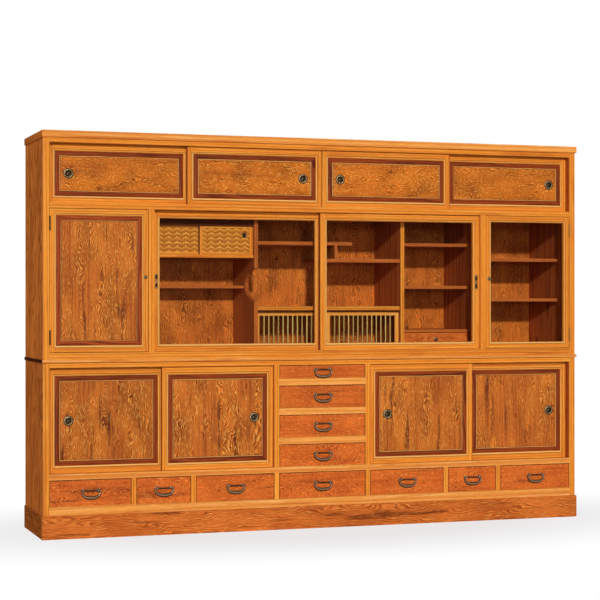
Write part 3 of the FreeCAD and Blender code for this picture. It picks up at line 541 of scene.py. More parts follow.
def prism(corners: Array, along: Span, axis: Axis, finish: Finish, grain: Grain,
          ease: float = 1.2) -> Surface:
    """Carry an eased outline along an axis, with rounded ends.

    The outline's rings go inwards by ease * (1 - sin a) at the distance ease * (1 - cos a) from each end.

    Args:
        corners: Corners of the outline across the axis, counter-clockwise, as (across, through).
        along: Limits along the axis.
        axis: The axis, which is also the way of the grain.
        finish: The finish.
        grain: Source of the board's place in the log.
        ease: Rounding of the long edges and of the ends.

    Returns:
        The board's surface.
    """
    outline = eased_outline(np.asarray(corners, float), ease)
    normals = outline_normals(outline)
    angle = np.array([math.pi / 6, math.pi / 3, math.pi / 2])
    inset = ease * (1 - np.sin(angle))
    reach = ease * (math.cos(angle[0]) - np.cos(angle))
    inset = np.concatenate([inset, inset[::-1]])
    travel = np.concatenate([along[0] + reach, along[1] - reach[::-1]])
    local = np.empty((6, len(outline), 3))
    local[:, :, :2] = outline[None] - normals[None] * inset[:, None, None]
    local[:, :, 2] = travel[:, None]
    # The middle of each eased edge and of each rounded end is painted paler: worn edges, and a painted
    # highlight of the edge.
    wear = np.maximum(np.tile([0.0, 1.0, 0.0], len(outline) // 3)[None],
                      np.tile([0.0, 1.0, 0.0], 2)[:, None])
    return ring_surface(np.roll(local, axis.value, 2), finish,
                        np.roll(local, 1, 2) * MM + grain.place(), wear, grain.tone())


def rectangle(u: Span, v: Span) -> Array:
    """Corners of a rectangle, counter-clockwise."""
    return np.array([(u[0], v[0]), (u[1], v[0]), (u[1], v[1]), (u[0], v[1])], float)


def board(x: Span, y: Span, z: Span, axis: Axis, finish: Finish, grain: Grain, ease: float = 1.2) -> Surface:
    """A straight board with eased edges between its limits; the axis is the way of its grain."""
    across, through, along = {Axis.X: (y, z, x), Axis.Y: (z, x, y), Axis.Z: (x, y, z)}[axis]
    return prism(rectangle(across, through), along, axis, finish, grain, ease)


def mitred_frame(x: Span, z: Span, profile: Array, finish: Finish, grain: Grain, level: bool = False,
                 wear: Array | float = 0.0, tone: float = 0.0) -> list[Surface]:
    """Carry a closed profile round a rectangle, mitred at the corners.

    A profile point at inset d lies on the rectangle drawn in by d, so each side ends on the 45-degree
    plane of its corner.

    Args:
        x: Limits of the rectangle along X.
        z: Limits along Z, or along Y for a level frame.
        profile: Points (inset, depth), counter-clockwise seen with the inset to the right.
        finish: The finish.
        grain: Source of places in a log.
        level: Whether the rectangle lies flat, with its depth along Z.
        wear: Wear of each point of the profile, in one row or in a row for each side.
        tone: How much lighter or darker than its finish the frame is.

    Returns:
        The four sides: low, right, high and left.
    """
    inset, depth = np.asarray(profile, float).T
    wear = np.broadcast_to(wear, (4, len(inset)))
    low = np.stack([x[0] + inset, z[0] + inset], 1)
    high = np.stack([x[1] - inset, z[1] - inset], 1)
    corners = [low, np.stack([high[:, 0], low[:, 1]], 1), high, np.stack([low[:, 0], high[:, 1]], 1)]
    sides = []
    for number in range(4):
        ends = np.stack([corners[number], corners[(number + 1) % 4]])
        rings = np.empty((2, len(inset), 3))
        rings[:, :, 0] = ends[:, :, 0]
        rings[:, :, 2 - level] = ends[:, :, 1]
        rings[:, :, 1 + level] = depth
        places = np.stack([ends[:, :, number % 2], np.tile(inset, (2, 1)), np.tile(depth, (2, 1))], -1)
        if level:
            rings = rings[:, ::-1]
            places = places[:, ::-1]
        sides.append(ring_surface(rings, finish, places * MM + grain.place(),
                                  np.tile(wear[number], (2, 1)), tone + grain.tone()))
    return sides


def turned(profile: Array, centre: Place, axis: Axis, finish: Finish, beads: tuple[int, float] = (0, 0.0),
           segments: int = 32, fade: float = 0.0) -> Surface:
    """Turn a profile about an axis.

    A point at radius r and distance s lies at r * (cos a, sin a) round the axis and s along it. Beads
    raise the worn rings of the profile by their height times cos(count * a). The pale of those rings is
    painted highlight as well as worn metal: it fades by (1 + sin 2a) / 2 round the axis, so that it stays
    on two opposite sides, and the other two sides stay dull.

    Args:
        profile: Rows of radius, distance along the axis and wear.
        centre: The point that distances count from.
        axis: The axis.
        finish: The finish.
        beads: Number and height of the beads on the worn rings.
        segments: Points in a ring.
        fade: Share of the paleness, worn metal and painted highlight, that the dull sides lose.

    Returns:
        The turned surface.
    """
    radius, travel, wear = np.asarray(profile, float).T
    angle = np.linspace(0, 2 * math.pi, segments, endpoint=False)
    lift = beads[1] * np.cos(beads[0] * angle)[None] * wear[:, None]
    local = np.empty((len(radius), segments, 3))
    local[:, :, 0] = radius[:, None] * np.cos(angle)
    local[:, :, 1] = radius[:, None] * np.sin(angle)
    local[:, :, 2] = travel[:, None] + lift
    rings = np.roll(local, axis.value, 2) + np.asarray(centre)
    # Painted highlight: the pale of the worn rings is dimmed on two opposite sides.
    dull = 1 - fade * (1 + np.sin(2 * angle)) / 2
    rub_and_painted_light = wear[:, None] * np.where(wear[:, None] > 0, dull, 1.0)
    return ring_surface(rings, finish, rings * MM, rub_and_painted_light)


def facing(profile: list[tuple[float, float, float]] | Array) -> Array:
    """A profile of radius, height and wear turned to -Y: heights change sign and rows run backwards."""
    return np.asarray(profile, float)[::-1] * (1, -1, 1)


def tube(path: Array, radius: Array, finish: Finish, segments: int = 14) -> Surface:
    """Carry a circle along a path that lies in a plane across Y.

    At each point the circle lies across the path's tangent t, in the directions Y and t x Y. Its front is
    painted pale, as worn metal and painted highlight, and its sides dark, as painted shade.

    Args:
        path: Points of the path.
        radius: Radius at each point.
        finish: The finish.
        segments: Points in a ring.

    Returns:
        The tube's surface.
    """
    tangent = unit(np.gradient(path, axis=0))
    side = np.array([0.0, 1.0, 0.0])
    across = np.cross(tangent, side)
    angle = np.linspace(0, 2 * math.pi, segments, endpoint=False)
    ring = np.cos(angle)[None, :, None] * across[:, None] + np.sin(angle)[None, :, None] * -side
    rings = path[:, None] + ring * radius[:, None, None]
    facing_front = np.sin(angle)
    # Painted highlight in front and painted shade along the sides of the round wire.
    rub_and_painted_light = 0.6 * np.clip(facing_front, 0, 1) ** 4 - 0.8 * (1 - np.abs(facing_front))
    wear = np.tile(rub_and_painted_light, (len(path), 1))
    return ring_surface(rings[:, ::-1], finish, rings[:, ::-1] * MM, wear[:, ::-1])


def pierced_plate(x: Span, z: Span, y: Span, centre: Span, radius: float, axis: Axis, finish: Finish,
                  grain: Grain, segments: int = 48) -> Surface:
    """A flat plate with a round hole.

    Rays from the hole's centre at angle a leave the circle at its radius and meet the plate's edge at the
    nearest of its four sides; the rings run hole front, edge front, edge back, hole back and close.

    Args:
        x: Limits along X.
        z: Limits along Z.
        y: Front and back planes.
        centre: The hole's place along X and Z.
        radius: The hole's radius.
        axis: The way of the grain, X or Z.
        finish: The finish.
        grain: Source of the plate's place in the log.
        segments: Rays apart from the four to the corners.

    Returns:
        The plate's surface.
    """
    middle = np.asarray(centre, float)
    corner = rectangle(x, z) - middle
    angle = np.sort(np.concatenate([np.linspace(-math.pi, math.pi, segments, endpoint=False),
                                    np.arctan2(corner[:, 1], corner[:, 0])]))
    ray = np.stack([np.cos(angle), np.sin(angle)], 1)
    with np.errstate(divide="ignore", invalid="ignore"):
        reach = np.where(ray > 0, corner[2] / ray, corner[0] / ray)
    edge = middle + ray * np.nanmin(np.where(np.abs(ray) < 1e-9, np.inf, reach), axis=1, keepdims=True)
    hole = middle + ray * radius
    plane = np.stack([hole, edge, edge, hole])
    points = np.empty((4, len(angle), 3))
    points[:, :, 0] = plane[:, :, 0]
    points[:, :, 1] = np.array([y[0], y[0], y[1], y[1]])[:, None]
    points[:, :, 2] = plane[:, :, 1]
    order = (0, 2, 1) if axis is Axis.X else (2, 0, 1)
    faces = grid_faces(4, len(angle), close_rows=True)
    places = points[:, :, order].reshape(-1, 3) * MM + grain.place()
    return Surface(points.reshape(-1, 3), [faces], finish, places, np.zeros(len(places)), grain.tone())


def woven_strip(along: Span, centre: float, width: float, levels: Array, rise: float, y: float,
                thickness: float, axis: Axis, finish: Finish, grain: Grain) -> Surface:
    """A thin strip that passes over and under its crossing strips.

    The crossings are evenly spaced along it. At each one its middle plane lies at y - rise * level, and
    between them it follows half a cosine; it crowns by a cosine across its width. Where it passes over it
    is painted paler, a painted highlight, and where it dives under and along its edges it is painted
    darker, as shade.

    Args:
        along: Limits along its run.
        centre: Its place across the run.
        width: Its width.
        levels: Height at each crossing as a share of rise, below nought where it passes under.
        rise: Height of the passes over and under.
        y: Middle plane of the weave.
        thickness: Thickness of the strip.
        axis: Way of its run, X or Z.
        finish: The finish.
        grain: Source of its place in the log.

    Returns:
        The strip's surface.
    """
    place = np.linspace(-0.5, len(levels) - 0.5, 3 * len(levels) + 1)
    before = np.clip(np.floor(place).astype(int), 0, len(levels) - 1)
    after = np.minimum(before + 1, len(levels) - 1)
    share = (1 - np.cos(math.pi * np.clip(place - before, 0, 1))) / 2
    crest = levels[before] * (1 - share) + levels[after] * share
    travel = along[0] + (place + 0.5) / len(levels) * (along[1] - along[0])
    spread = np.array([-0.5, 0.0, 0.5])
    crown = 0.5 * np.cos(math.pi * spread)
    across = np.concatenate([spread, spread[::-1]]) * width
    height = np.concatenate([-crown - thickness / 2, -crown[::-1] + thickness / 2])
    rings = np.empty((len(travel), len(across), 3))
    run, side = (0, 2) if axis is Axis.X else (2, 0)
    rings[:, :, run] = travel[:, None]
    rings[:, :, side] = centre + across[None]
    rings[:, :, 1] = (y - rise * crest)[:, None] + height[None]
    if axis is Axis.X:
        rings = rings[:, ::-1]
    # Painted highlight on the crests, and painted shade where the strip dives under and along its edges.
    edge = np.array([1.0, 0.0, 1.0, 1.0, 0.0, 1.0])[None]
    wear = np.clip(crest[:, None] - 0.5 * edge, -1.0, 1.0)
    places = rings[:, :, (run, side, 1)] * MM + grain.place()
    return ring_surface(rings, finish, places, wear, grain.tone(0.06))


def area_normals(points: Array, blocks: list[Array]) -> Array:
    """Normals at the points, each the sum of its faces' normals weighed by area.

    Args:
        points: The points.
        blocks: The faces, in blocks of equal-sized index rows.

    Returns:
        One unit normal for each point.
    """
    total = np.zeros_like(points)
    for block in blocks:
        corner = points[block]
        normal = np.cross(corner, np.roll(corner, -1, 1)).sum(1)
        np.add.at(total, block.ravel(), np.repeat(normal, block.shape[1], 0))
    return unit(total)


@dataclass
class Piece:
    """One named piece of the visual model: surfaces that ride together on a body."""

    name: str
    body: str
    slot: Slot
    surfaces: list[Surface] = field(default_factory=list)
    replaces: tuple[str, ...] = ()

    def build(self) -> None:
        """Join the surfaces in one mesh at the origin, give it its finishes and set it on its body."""
        parts = self.surfaces
        starts = np.cumsum([0] + [len(part.points) for part in parts])
        points = np.concatenate([part.points for part in parts]) * MM
        finishes = list(dict.fromkeys(part.finish for part in parts))
        blocks = [block + start for start, part in zip(starts, parts) for block in part.faces]
        faces = [row for block in blocks for row in block.tolist()]
        counts = [sum(map(len, part.faces)) for part in parts]
        slots = np.repeat([finishes.index(part.finish) for part in parts], counts)
        mesh = bpy.data.meshes.new(self.name)
        mesh.from_pydata(points.tolist(), [], faces)
        mesh.polygons.foreach_set("material_index", slots.tolist())
        mesh.polygons.foreach_set("use_smooth", [True] * len(faces))
        self.write(mesh, "grain", "FLOAT_VECTOR", "vector", np.concatenate([part.grain for part in parts]))
        self.write(mesh, "wear", "FLOAT", "value", np.concatenate([part.wear for part in parts]))
        tones = np.concatenate([np.full(len(part.points), part.tone) for part in parts])
        self.write(mesh, "tone", "FLOAT", "value", tones)
        for finish in finishes:
            mesh.materials.append(finish.material())
        mesh.normals_split_custom_set_from_vertices(area_normals(points, blocks).tolist())
        piece = bpy.data.objects.new(self.name, mesh)
        bpy.context.scene.collection.objects.link(piece)
        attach(piece, self.body)
        if self.replaces:
            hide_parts(*self.replaces)
        LOG.info("%s on %s: %d points, %d faces", self.name, self.body, len(points), len(faces))

    @staticmethod
    def write(mesh: bpy.types.Mesh, name: str, kind: str, key: str, values: Array) -> None:
        """Write one attribute of the mesh's points."""
        mesh.attributes.new(name, kind, "POINT").data.foreach_set(key, np.asarray(values, np.float32).ravel())


@dataclass(frozen=True)
class Plan:
    """Planes and levels that the sub-assemblies share, in millimetres, taken from the part.

    face is the plane of the hinged doors and the drawers, and rear that of the back inside. stack holds
    the floor and height of each stacked drawer, from the top down. scoop and display are the partitions
    behind the glass.
    """

    half_width: float = 1280.0
    front: float = float(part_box("top_board")[0].y) / MM
    back: float = float(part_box("top_board")[1].y) / MM
    body_front: float = front + 9.0
    face: float = front + 11.0
    rail_end: float = front + 59.0
    track_end: float = front + 75.0
    rear: float = front + 441.0
    back_panel: Span = (rear, front + 450.0)
    drawer_back: float = front + 431.0
    inner_half: float = 1247.0
    whole: Span = (-inner_half, inner_half)
    body_half: float = 1275.0
    partition: Span = (783.0, 810.0)
    scoop: Span = (-297.0, -280.0)
    display: Span = (417.0, 435.0)
    stack_half: float = 206.5
    stack: tuple[Span, ...] = ((676.0, 62.0), (543.6667, 102.3333), (411.3333, 102.3333), (279.0, 102.3333))
    post: Span = (206.5, 231.5)
    dividers: tuple[float, ...] = (219.0, 606.0, 875.0)
    divider_half: float = 11.0
    plinth_top: float = 100.0
    drawer_band: Span = (137.0, 254.0)
    door_band: Span = (279.0, 738.0)
    lower_top: float = 760.0
    base_top: float = 773.0
    middle_band: Span = (803.0, 1428.0)
    top_band: Span = (1453.0, 1712.0)
    body_top: float = 1733.0
    top: float = 1763.0


def node_limits(node: str) -> tuple[Span, Span, Span]:
    """Limits of a node along X, Y and Z, in millimetres."""
    low, high = (np.array(corner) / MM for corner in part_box(node))
    return tuple(zip(low, high))


def drawn_in(span: Span, by: float) -> Span:
    """Limits that are drawn in at both ends."""
    return span[0] + by, span[1] - by


def moved(span: Span, by: float) -> Span:
    """Limits that are moved along."""
    return span[0] + by, span[1] + by


def about(centre: float, half: float) -> Span:
    """Limits at the same distance on both sides of a centre."""
    return centre - half, centre + half


def mirrored(span: Span, side: int) -> Span:
    """Limits on the right-hand side, or the same on the left."""
    return span if side > 0 else (-span[1], -span[0])


def lipped(x: Span, y: Span, z: Span, axis: Axis, grain: Grain, lip: float = 7.0,
           edge: Wood = FRAME_WOOD) -> list[Surface]:
    """A lipping of solid wood and the veneered interior board behind it."""
    return [board(x, (y[0], y[0] + lip), z, axis, edge, grain, ease=0.9),
            board(x, (y[0] + lip, y[1]), z, axis, INTERIOR_WOOD, grain, ease=0.25)]


def meeting_strip(x: Span, y: Span, z: Span, side: int, grain: Grain, width: float = 1.8,
                  finish: Wood = BORDER_WOOD) -> tuple[Span, Surface]:
    """A dark strip along the edge where a front sliding door laps the one behind it: painted shade of the gap
    between the doors.

    Args:
        x: Limits of the door along X.
        y: Limits of the strip along Y.
        z: Limits of the door along Z.
        side: Minus one for the left edge, one for the right.
        grain: Source of its place in the log.
        width: Width of the strip.
        finish: Finish of the strip.

    Returns:
        What the strip leaves of the door's width, and the strip.
    """
    seam = x[0] + width if side < 0 else x[1] - width
    low, high = (x[0], seam), (seam, x[1])
    strip, rest = (low, high) if side < 0 else (high, low)
    return rest, board(strip, y, z, Axis.Z, finish, grain, ease=0.3)


def stiles_and_rails(x: Span, run: Span, z: Span, opening: tuple[Span, Span], finish: Wood, grain: Grain,
                     ease: float = 1.0) -> list[Surface]:
    """Two stiles with two rails between them.

    Args:
        x: Limits of the frame along X.
        run: Limits along Y.
        z: Limits along Z.
        opening: Limits of the opening along X and Z.
        finish: The finish.
        grain: Source of places in a log.
        ease: Rounding of the edges.

    Returns:
        Left and right stile, low and high rail.
    """
    inner_x, inner_z = opening
    stiles = ((x[0], inner_x[0]), (inner_x[1], x[1]))
    rails = ((z[0], inner_z[0]), (inner_z[1], z[1]))
    return ([board(stile, run, z, Axis.Z, finish, grain, ease) for stile in stiles]
            + [board(inner_x, run, rail, Axis.X, finish, grain, ease) for rail in rails])


@dataclass
class Carcass:
    """Outer boards, rails, decks, uprights and plinth of both cabinets."""

    body: str = "cabinet"
    lipping: float = 8.0
    top_edge: float = 26.0
    ledge_depth: float = 13.0
    groove_inset: float = 6.1
    groove_width: float = 8.8
    floor_groove: float = 3.0
    head_groove: float = 10.0
    tracks: Span = (0.0, 24.0)
    # seam and its depths size the dark strip of painted shade under the waist board.
    seam: float = 2.4
    seam_depths: Span = (-0.3, 0.2)
    lining: float = 2.0
    back_sheet: float = 4.0
    runner: Span = (14.0, 12.0)
    middle_deck: float = 18.0
    drawer_deck: float = 15.0
    top_partition_half: float = 10.0
    plinth_board: float = 22.0
    plinth_end_tone: float = -0.4
    bearers: tuple[float, ...] = (-640.0, 0.0, 640.0)
    bearer_half: float = 20.0

    def build(self) -> None:
        """Build every board of the carcass."""
        self.framed_plank("top_board", (Plan.body_top, Plan.top), SIDE_WOOD)
        # The waist board's ends take the dark finish: painted shade of the gap under the upper cabinet.
        self.framed_plank("upper_base_board", (Plan.lower_top, Plan.base_top), DARK_INLAY_AND_SHADE)
        tiers = {"upper": (Plan.base_top, Plan.body_top), "lower": (Plan.plinth_top, Plan.lower_top)}
        for tier, levels in tiers.items():
            self.side_panels(f"{tier}_side_panels", levels)
            self.back_panel(f"{tier}_back_panel", levels)
        self.rails()
        self.decks()
        self.uprights()
        self.plinth()

    def piece(self, name: str, surfaces: list[Surface], slot: Slot = Slot.CARCASS) -> None:
        """Build one piece that replaces the node of the same name."""
        Piece(name, self.body, slot, surfaces, (name,)).build()

    def boards(self, name: str, rows: list[tuple], slot: Slot = Slot.CARCASS) -> None:
        """Build one piece of straight boards, each a row of its limits, axis, finish and ease."""
        grain = Grain(name)
        self.piece(name, [board(*limits, grain, ease) for *limits, ease in rows], slot)

    def framed_plank(self, name: str, levels: Span, ends: Wood) -> None:
        """Build a wide board, a veneered field in a mitred solid edge.

        Args:
            name: Name of the piece and its node.
            levels: Limits along Z.
            ends: Finish of the edge at both ends.
        """
        grain = Grain(name)
        edge = self.top_edge
        x = (-Plan.half_width, Plan.half_width)
        y = (Plan.front, Plan.back)
        outline = eased_outline(rectangle((0.0, edge), levels), ease=1.6)
        surfaces = mitred_frame(x, y, outline, EDGE_WOOD, grain, level=True)
        surfaces[1].finish = surfaces[3].finish = ends
        inner = drawn_in(x, edge), drawn_in(y, edge)
        surfaces.append(board(*inner, levels, Axis.X, SIDE_WOOD, grain, ease=0.3))
        self.piece(name, surfaces)

    def side_panels(self, name: str, levels: Span) -> None:
        """Build the left and right sides, each lipped at the front and lined inside.

        Args:
            name: Name of the piece and its node.
            levels: Limits along Z.
        """
        lip = (Plan.body_front, Plan.body_front + self.lipping)
        run = (lip[1], Plan.back)
        inner, outer = Plan.inner_half, Plan.body_half
        seam = inner + self.lining
        rows = []
        for side in (-1, 1):
            rows += [
                (mirrored((inner, outer), side), lip, levels, Axis.Z, FRAME_WOOD, 0.9),
                (mirrored((seam, outer), side), run, levels, Axis.Z, SIDE_WOOD, 0.25),
                (mirrored((inner, seam), side), run, levels, Axis.Z, INTERIOR_WOOD, 0.25),
            ]
        self.boards(name, rows)

    def back_panel(self, name: str, levels: Span) -> None:
        """Build figured sheets inside and plain plywood outside.

        Args:
            name: Name of the piece and its node.
            levels: Limits along Z.
        """
        front, back = Plan.back_panel
        behind = front + self.back_sheet
        inner = Plan.partition[0]
        seams = (Plan.whole[0], -inner, Plan.scoop[0], Plan.display[0], inner, Plan.whole[1])
        rows = [(span, (front, behind), levels, Axis.Z, BACK_WOOD, 0.2) for span in zip(seams, seams[1:])]
        rows.append((Plan.whole, (behind, back), levels, Axis.X, PLY_WOOD, 0.3))
        self.boards(name, rows)

    def track_outline(self, levels: Span, floor: bool, head: bool) -> Array:
        """Outline of a track bed.

        Args:
            levels: Limits along Z.
            floor: Whether it is grooved above, for doors that stand on it.
            head: Whether it is grooved below, for doors that run under it.

        Returns:
            Its corners in (Y, Z).
        """
        front = Plan.body_front + self.ledge_depth
        back = Plan.track_end
        low, high = levels
        starts = [front + track + self.groove_inset for track in self.tracks]
        grooves = [(start, start + self.groove_width) for start in starts]
        points = [(front, low)]
        for start, end in grooves if head else ():
            rise = low + self.head_groove
            points += [(start, low), (start, rise), (end, rise), (end, low)]
        points += [(back, low), (back, high)]
        for start, end in grooves[::-1] if floor else ():
            drop = high - self.floor_groove
            points += [(end, high), (end, drop), (start, drop), (start, high)]
        return np.array(points + [(front, high)])

    def track_rail(self, grain: Grain, levels: Span, beds: list[tuple[Span, bool, bool]],
                   finish: Wood = FRAME_WOOD) -> list[Surface]:
        """A rail with a solid ledge along the front and grooved beds behind it.

        Args:
            grain: Source of places in a log.
            levels: Limits along Z.
            beds: Limits along X of each bed, and whether it is grooved above and below.
            finish: Finish of the ledge.

        Returns:
            The ledge and the beds.
        """
        ledge = (Plan.body_front, Plan.body_front + self.ledge_depth)
        surfaces = [board(Plan.whole, ledge, levels, Axis.X, finish, grain, ease=1.0)]
        for along, floor, head in beds:
            outline = self.track_outline(levels, floor, head)
            surfaces.append(prism(outline, along, Axis.X, FRAME_WOOD, grain, ease=0.3))
        return surfaces

    def rails(self) -> None:
        """Build the front rails of both cabinets and the drawer runners."""
        wide, inner, outer = Plan.inner_half, Plan.partition[0], Plan.post[1]
        grain = Grain("upper_front_rails")
        middle = (-inner, inner)
        bays = ((-wide, -inner), middle, (inner, wide))
        surfaces = self.track_rail(grain, (Plan.top_band[1], Plan.body_top), [(Plan.whole, False, True)])
        surfaces += self.track_rail(grain, (Plan.middle_band[1], Plan.top_band[0]),
                                    [(bay, True, bay == middle) for bay in bays])
        surfaces += self.track_rail(grain, (Plan.base_top, Plan.middle_band[0]),
                                    [(bay, bay == middle, False) for bay in bays])
        self.piece("upper_front_rails", surfaces)
        grain = Grain("lower_front_rails")
        middle = (-outer, outer)
        bays = ((-wide, -outer), middle, (outer, wide))
        surfaces = self.track_rail(grain, (Plan.door_band[1], Plan.lower_top),
                                   [(bay, False, bay != middle) for bay in bays])
        surfaces += self.track_rail(grain, (Plan.drawer_band[1], Plan.door_band[0]),
                                    [(bay, bay != middle, False) for bay in bays], EDGE_WOOD)
        surfaces += self.plain_rails(grain)
        self.piece("lower_front_rails", surfaces)
        self.runners()

    def plain_rails(self, grain: Grain) -> list[Surface]:
        """The rail under the drawer row, those between the stacked drawers and the dark seam at the top, a
        strip of painted shade under the waist board.

        Args:
            grain: Source of places in a log.

        Returns:
            The rails and the seam.
        """
        stack = (-Plan.stack_half, Plan.stack_half)
        run = (Plan.body_front, Plan.rail_end)
        rails = [(Plan.whole, (Plan.plinth_top, Plan.drawer_band[0]))]
        rails += [(stack, (sum(lower), upper[0])) for lower, upper in zip(Plan.stack[1:], Plan.stack)]
        surfaces = [board(x, run, z, Axis.X, EDGE_WOOD, grain, ease=1.0) for x, z in rails]
        # Painted shade: a dark strip where the waist board overhangs the rail.
        shade_seam_y = moved(self.seam_depths, Plan.body_front)
        shade_seam_z = (Plan.lower_top - self.seam, Plan.lower_top)
        return surfaces + [board(Plan.whole, shade_seam_y, shade_seam_z, Axis.X, DARK_INLAY_AND_SHADE, grain, ease=0.1)]

    def runners(self) -> None:
        """Build the runners under the stacked drawers, apart from the lowest, which has a deck."""
        run = (Plan.rail_end, Plan.rear)
        width, height = self.runner
        span = (Plan.stack_half - width, Plan.stack_half)
        rows = [(mirrored(span, side), run, (level - height, level), Axis.Y, INTERIOR_WOOD, 0.6)
                for level, _ in Plan.stack[:-1] for side in (-1, 1)]
        self.boards("drawer_runners", rows, Slot.INTERIOR)

    def decks(self) -> None:
        """Build the decks behind the front rails."""
        back = Plan.rear
        track, rail = (Plan.track_end, back), (Plan.rail_end, back)
        middle_floor, drawer_floor = Plan.middle_band[0], Plan.drawer_band[0]
        sets = {
            "upper_decks": [(track, (Plan.middle_band[1], Plan.top_band[0])),
                            (track, (middle_floor - self.middle_deck, middle_floor))],
            "lower_decks": [(track, (Plan.door_band[1], Plan.lower_top)),
                            (track, (Plan.drawer_band[1], Plan.door_band[0])),
                            (rail, (drawer_floor - self.drawer_deck, drawer_floor))],
        }
        for name, limits in sets.items():
            rows = [(Plan.whole, y, z, Axis.X, INTERIOR_WOOD, 0.4) for y, z in limits]
            self.boards(name, rows, Slot.INTERIOR)

    def upright(self, x: Span, z: Span, grain: Grain) -> list[Surface]:
        """A standing board that is lipped at the front."""
        run = (Plan.body_front, Plan.rear)
        return lipped(x, run, z, Axis.Z, grain, self.ledge_depth)

    def uprights(self) -> None:
        """Build the partitions, the stack posts and the drawer dividers."""
        grain = Grain("upper_partitions")
        top_x = (-self.top_partition_half, self.top_partition_half)
        top_y = (Plan.track_end, Plan.rear)
        top_z = (Plan.top_band[0], Plan.body_top)
        surfaces = [board(top_x, top_y, top_z, Axis.Z, INTERIOR_WOOD, grain, ease=0.5)]
        for side in (-1, 1):
            surfaces += self.upright(mirrored(Plan.partition, side), Plan.middle_band, grain)
        self.piece("upper_partitions", surfaces)
        grain = Grain("lower_partitions")
        surfaces = []
        for side in (-1, 1):
            surfaces += self.upright(mirrored(Plan.post, side), Plan.door_band, grain)
            for centre in Plan.dividers:
                divider = about(centre, Plan.divider_half)
                surfaces += self.upright(mirrored(divider, side), Plan.drawer_band, grain)
        self.piece("lower_partitions", surfaces)

    def plinth(self) -> None:
        """Build two front boards that meet at the centre, ends, back and bearers."""
        grain = Grain("plinth")
        levels = (0.0, Plan.plinth_top)
        wide = Plan.half_width
        inner = wide - self.plinth_board
        inside = (Plan.front + self.plinth_board, Plan.back - self.plinth_board)
        surfaces = []
        for side in (-1, 1):
            face_x = mirrored((0.0, wide), side)
            end_x = mirrored((inner, wide), side)
            face_y, end_y = (Plan.front, inside[0]), (inside[0], Plan.back)
            surfaces.append(board(face_x, face_y, levels, Axis.X, PLINTH_WOOD, grain, ease=0.5))
            surfaces.append(board(end_x, end_y, levels, Axis.Y, SIDE_WOOD, grain, ease=1.0))
            surfaces[-1].tone += self.plinth_end_tone
        surfaces.append(board((-inner, inner), (inside[1], Plan.back), levels, Axis.X, PLY_WOOD, grain))
        for centre in self.bearers:
            bearer_x = about(centre, self.bearer_half)
            surfaces.append(board(bearer_x, inside, levels, Axis.Y, PLY_WOOD, grain))
        self.piece("plinth", surfaces, Slot.PLINTH)


@dataclass
class RoundPull:
    """A recessed round finger pull with a beaded rim that laps the edge of its hole."""

    radius: float = 23.0
    cup: float = 13.5
    depth: float = 7.5
    rim: float = 2.2
    lap: float = 1.0

    def surface(self, centre: Place) -> Surface:
        """The pull, let into a panel.

        Args:
            centre: Its centre, on the plane of the panel.

        Returns:
            The turned surface.
        """
        r, c, rim, floor = self.radius, self.cup, self.rim, self.depth
        profile = facing([
            (0.5, -9.0, 0), (c + 1.0, -9.0, 0), (r - 1.0, -3.0, 0), (r, 0.0, -0.6), (r - 1.0, 0.9, -0.3),
            (r - 2.4, rim - 1.3, -0.5), (c + 5.2, rim - 0.9, -0.1), (c + 3.8, rim - 0.1, 0.9),
            (c + 2.2, rim, 1), (c + 1.0, rim - 0.3, 0.7), (c, 0.6, -0.6), (c - 0.8, -3.0, -1),
            (c - 1.6, 1.0 - floor, -1), (c - 3.4, -floor, -0.7), (4.6, -floor, -0.9),
            (3.0, 0.7 - floor, 0.1), (0.5, 0.9 - floor, 0.3)])
        # fade keeps the rim's paleness on two opposite sides: painted highlight.
        return turned(profile, centre, Axis.Y, BRONZE, beads=(8, -0.8), segments=64, fade=0.8)


def bead_profile(width: float, y: float, drop: float, quirk: float = 1.8) -> tuple[Array, Array]:
    """A bead that rounds from the frame's face down to the panel, with a groove along the frame.

    The bead is a quarter ellipse of the given width and drop; the groove is a square quirk.

    Args:
        width: Width of bead and groove.
        y: Face of the frame.
        drop: Depth from the face to the panel.
        quirk: Width of the groove.

    Returns:
        Closed profile of (inset, depth) rows, and the wear of each row.
    """
    foot = y + drop + 3.0
    floor = y + 3.4
    crest = y + 0.4
    angle = np.linspace(0, math.pi / 2, 7)
    curve = np.stack([quirk + (width - quirk) * np.sin(angle), crest + drop * (1 - np.cos(angle))], 1)
    groove = np.array([(0.0, foot), (0.0, floor), (quirk, floor)])
    rows = np.concatenate([groove, curve, [(width, foot)]])
    # The groove and the bead's foot are painted dark, as shade in the crease; the crest is painted paler, as
    # a worn edge and a painted highlight.
    wear = np.array([-1.0, -1.0, -1.0, 0.5, 0.4, 0.2, 0.0, 0.0, 0.0, -0.4, -0.4])
    return rows[::-1], wear[::-1]


BEAD_SIDE_LIGHT = (0.7, 0.0, -0.3, 0.35)
# Painted light on a bead's low, right, high and left sides: painted highlight on the low and left sides,
# painted shade on the high side.
"""Rubbing of a bead's low, right, high and left sides; the high side gathers dirt."""
PANE_DROP = 6.0
"""Depth from the face of a glazed door's frame to its pane."""


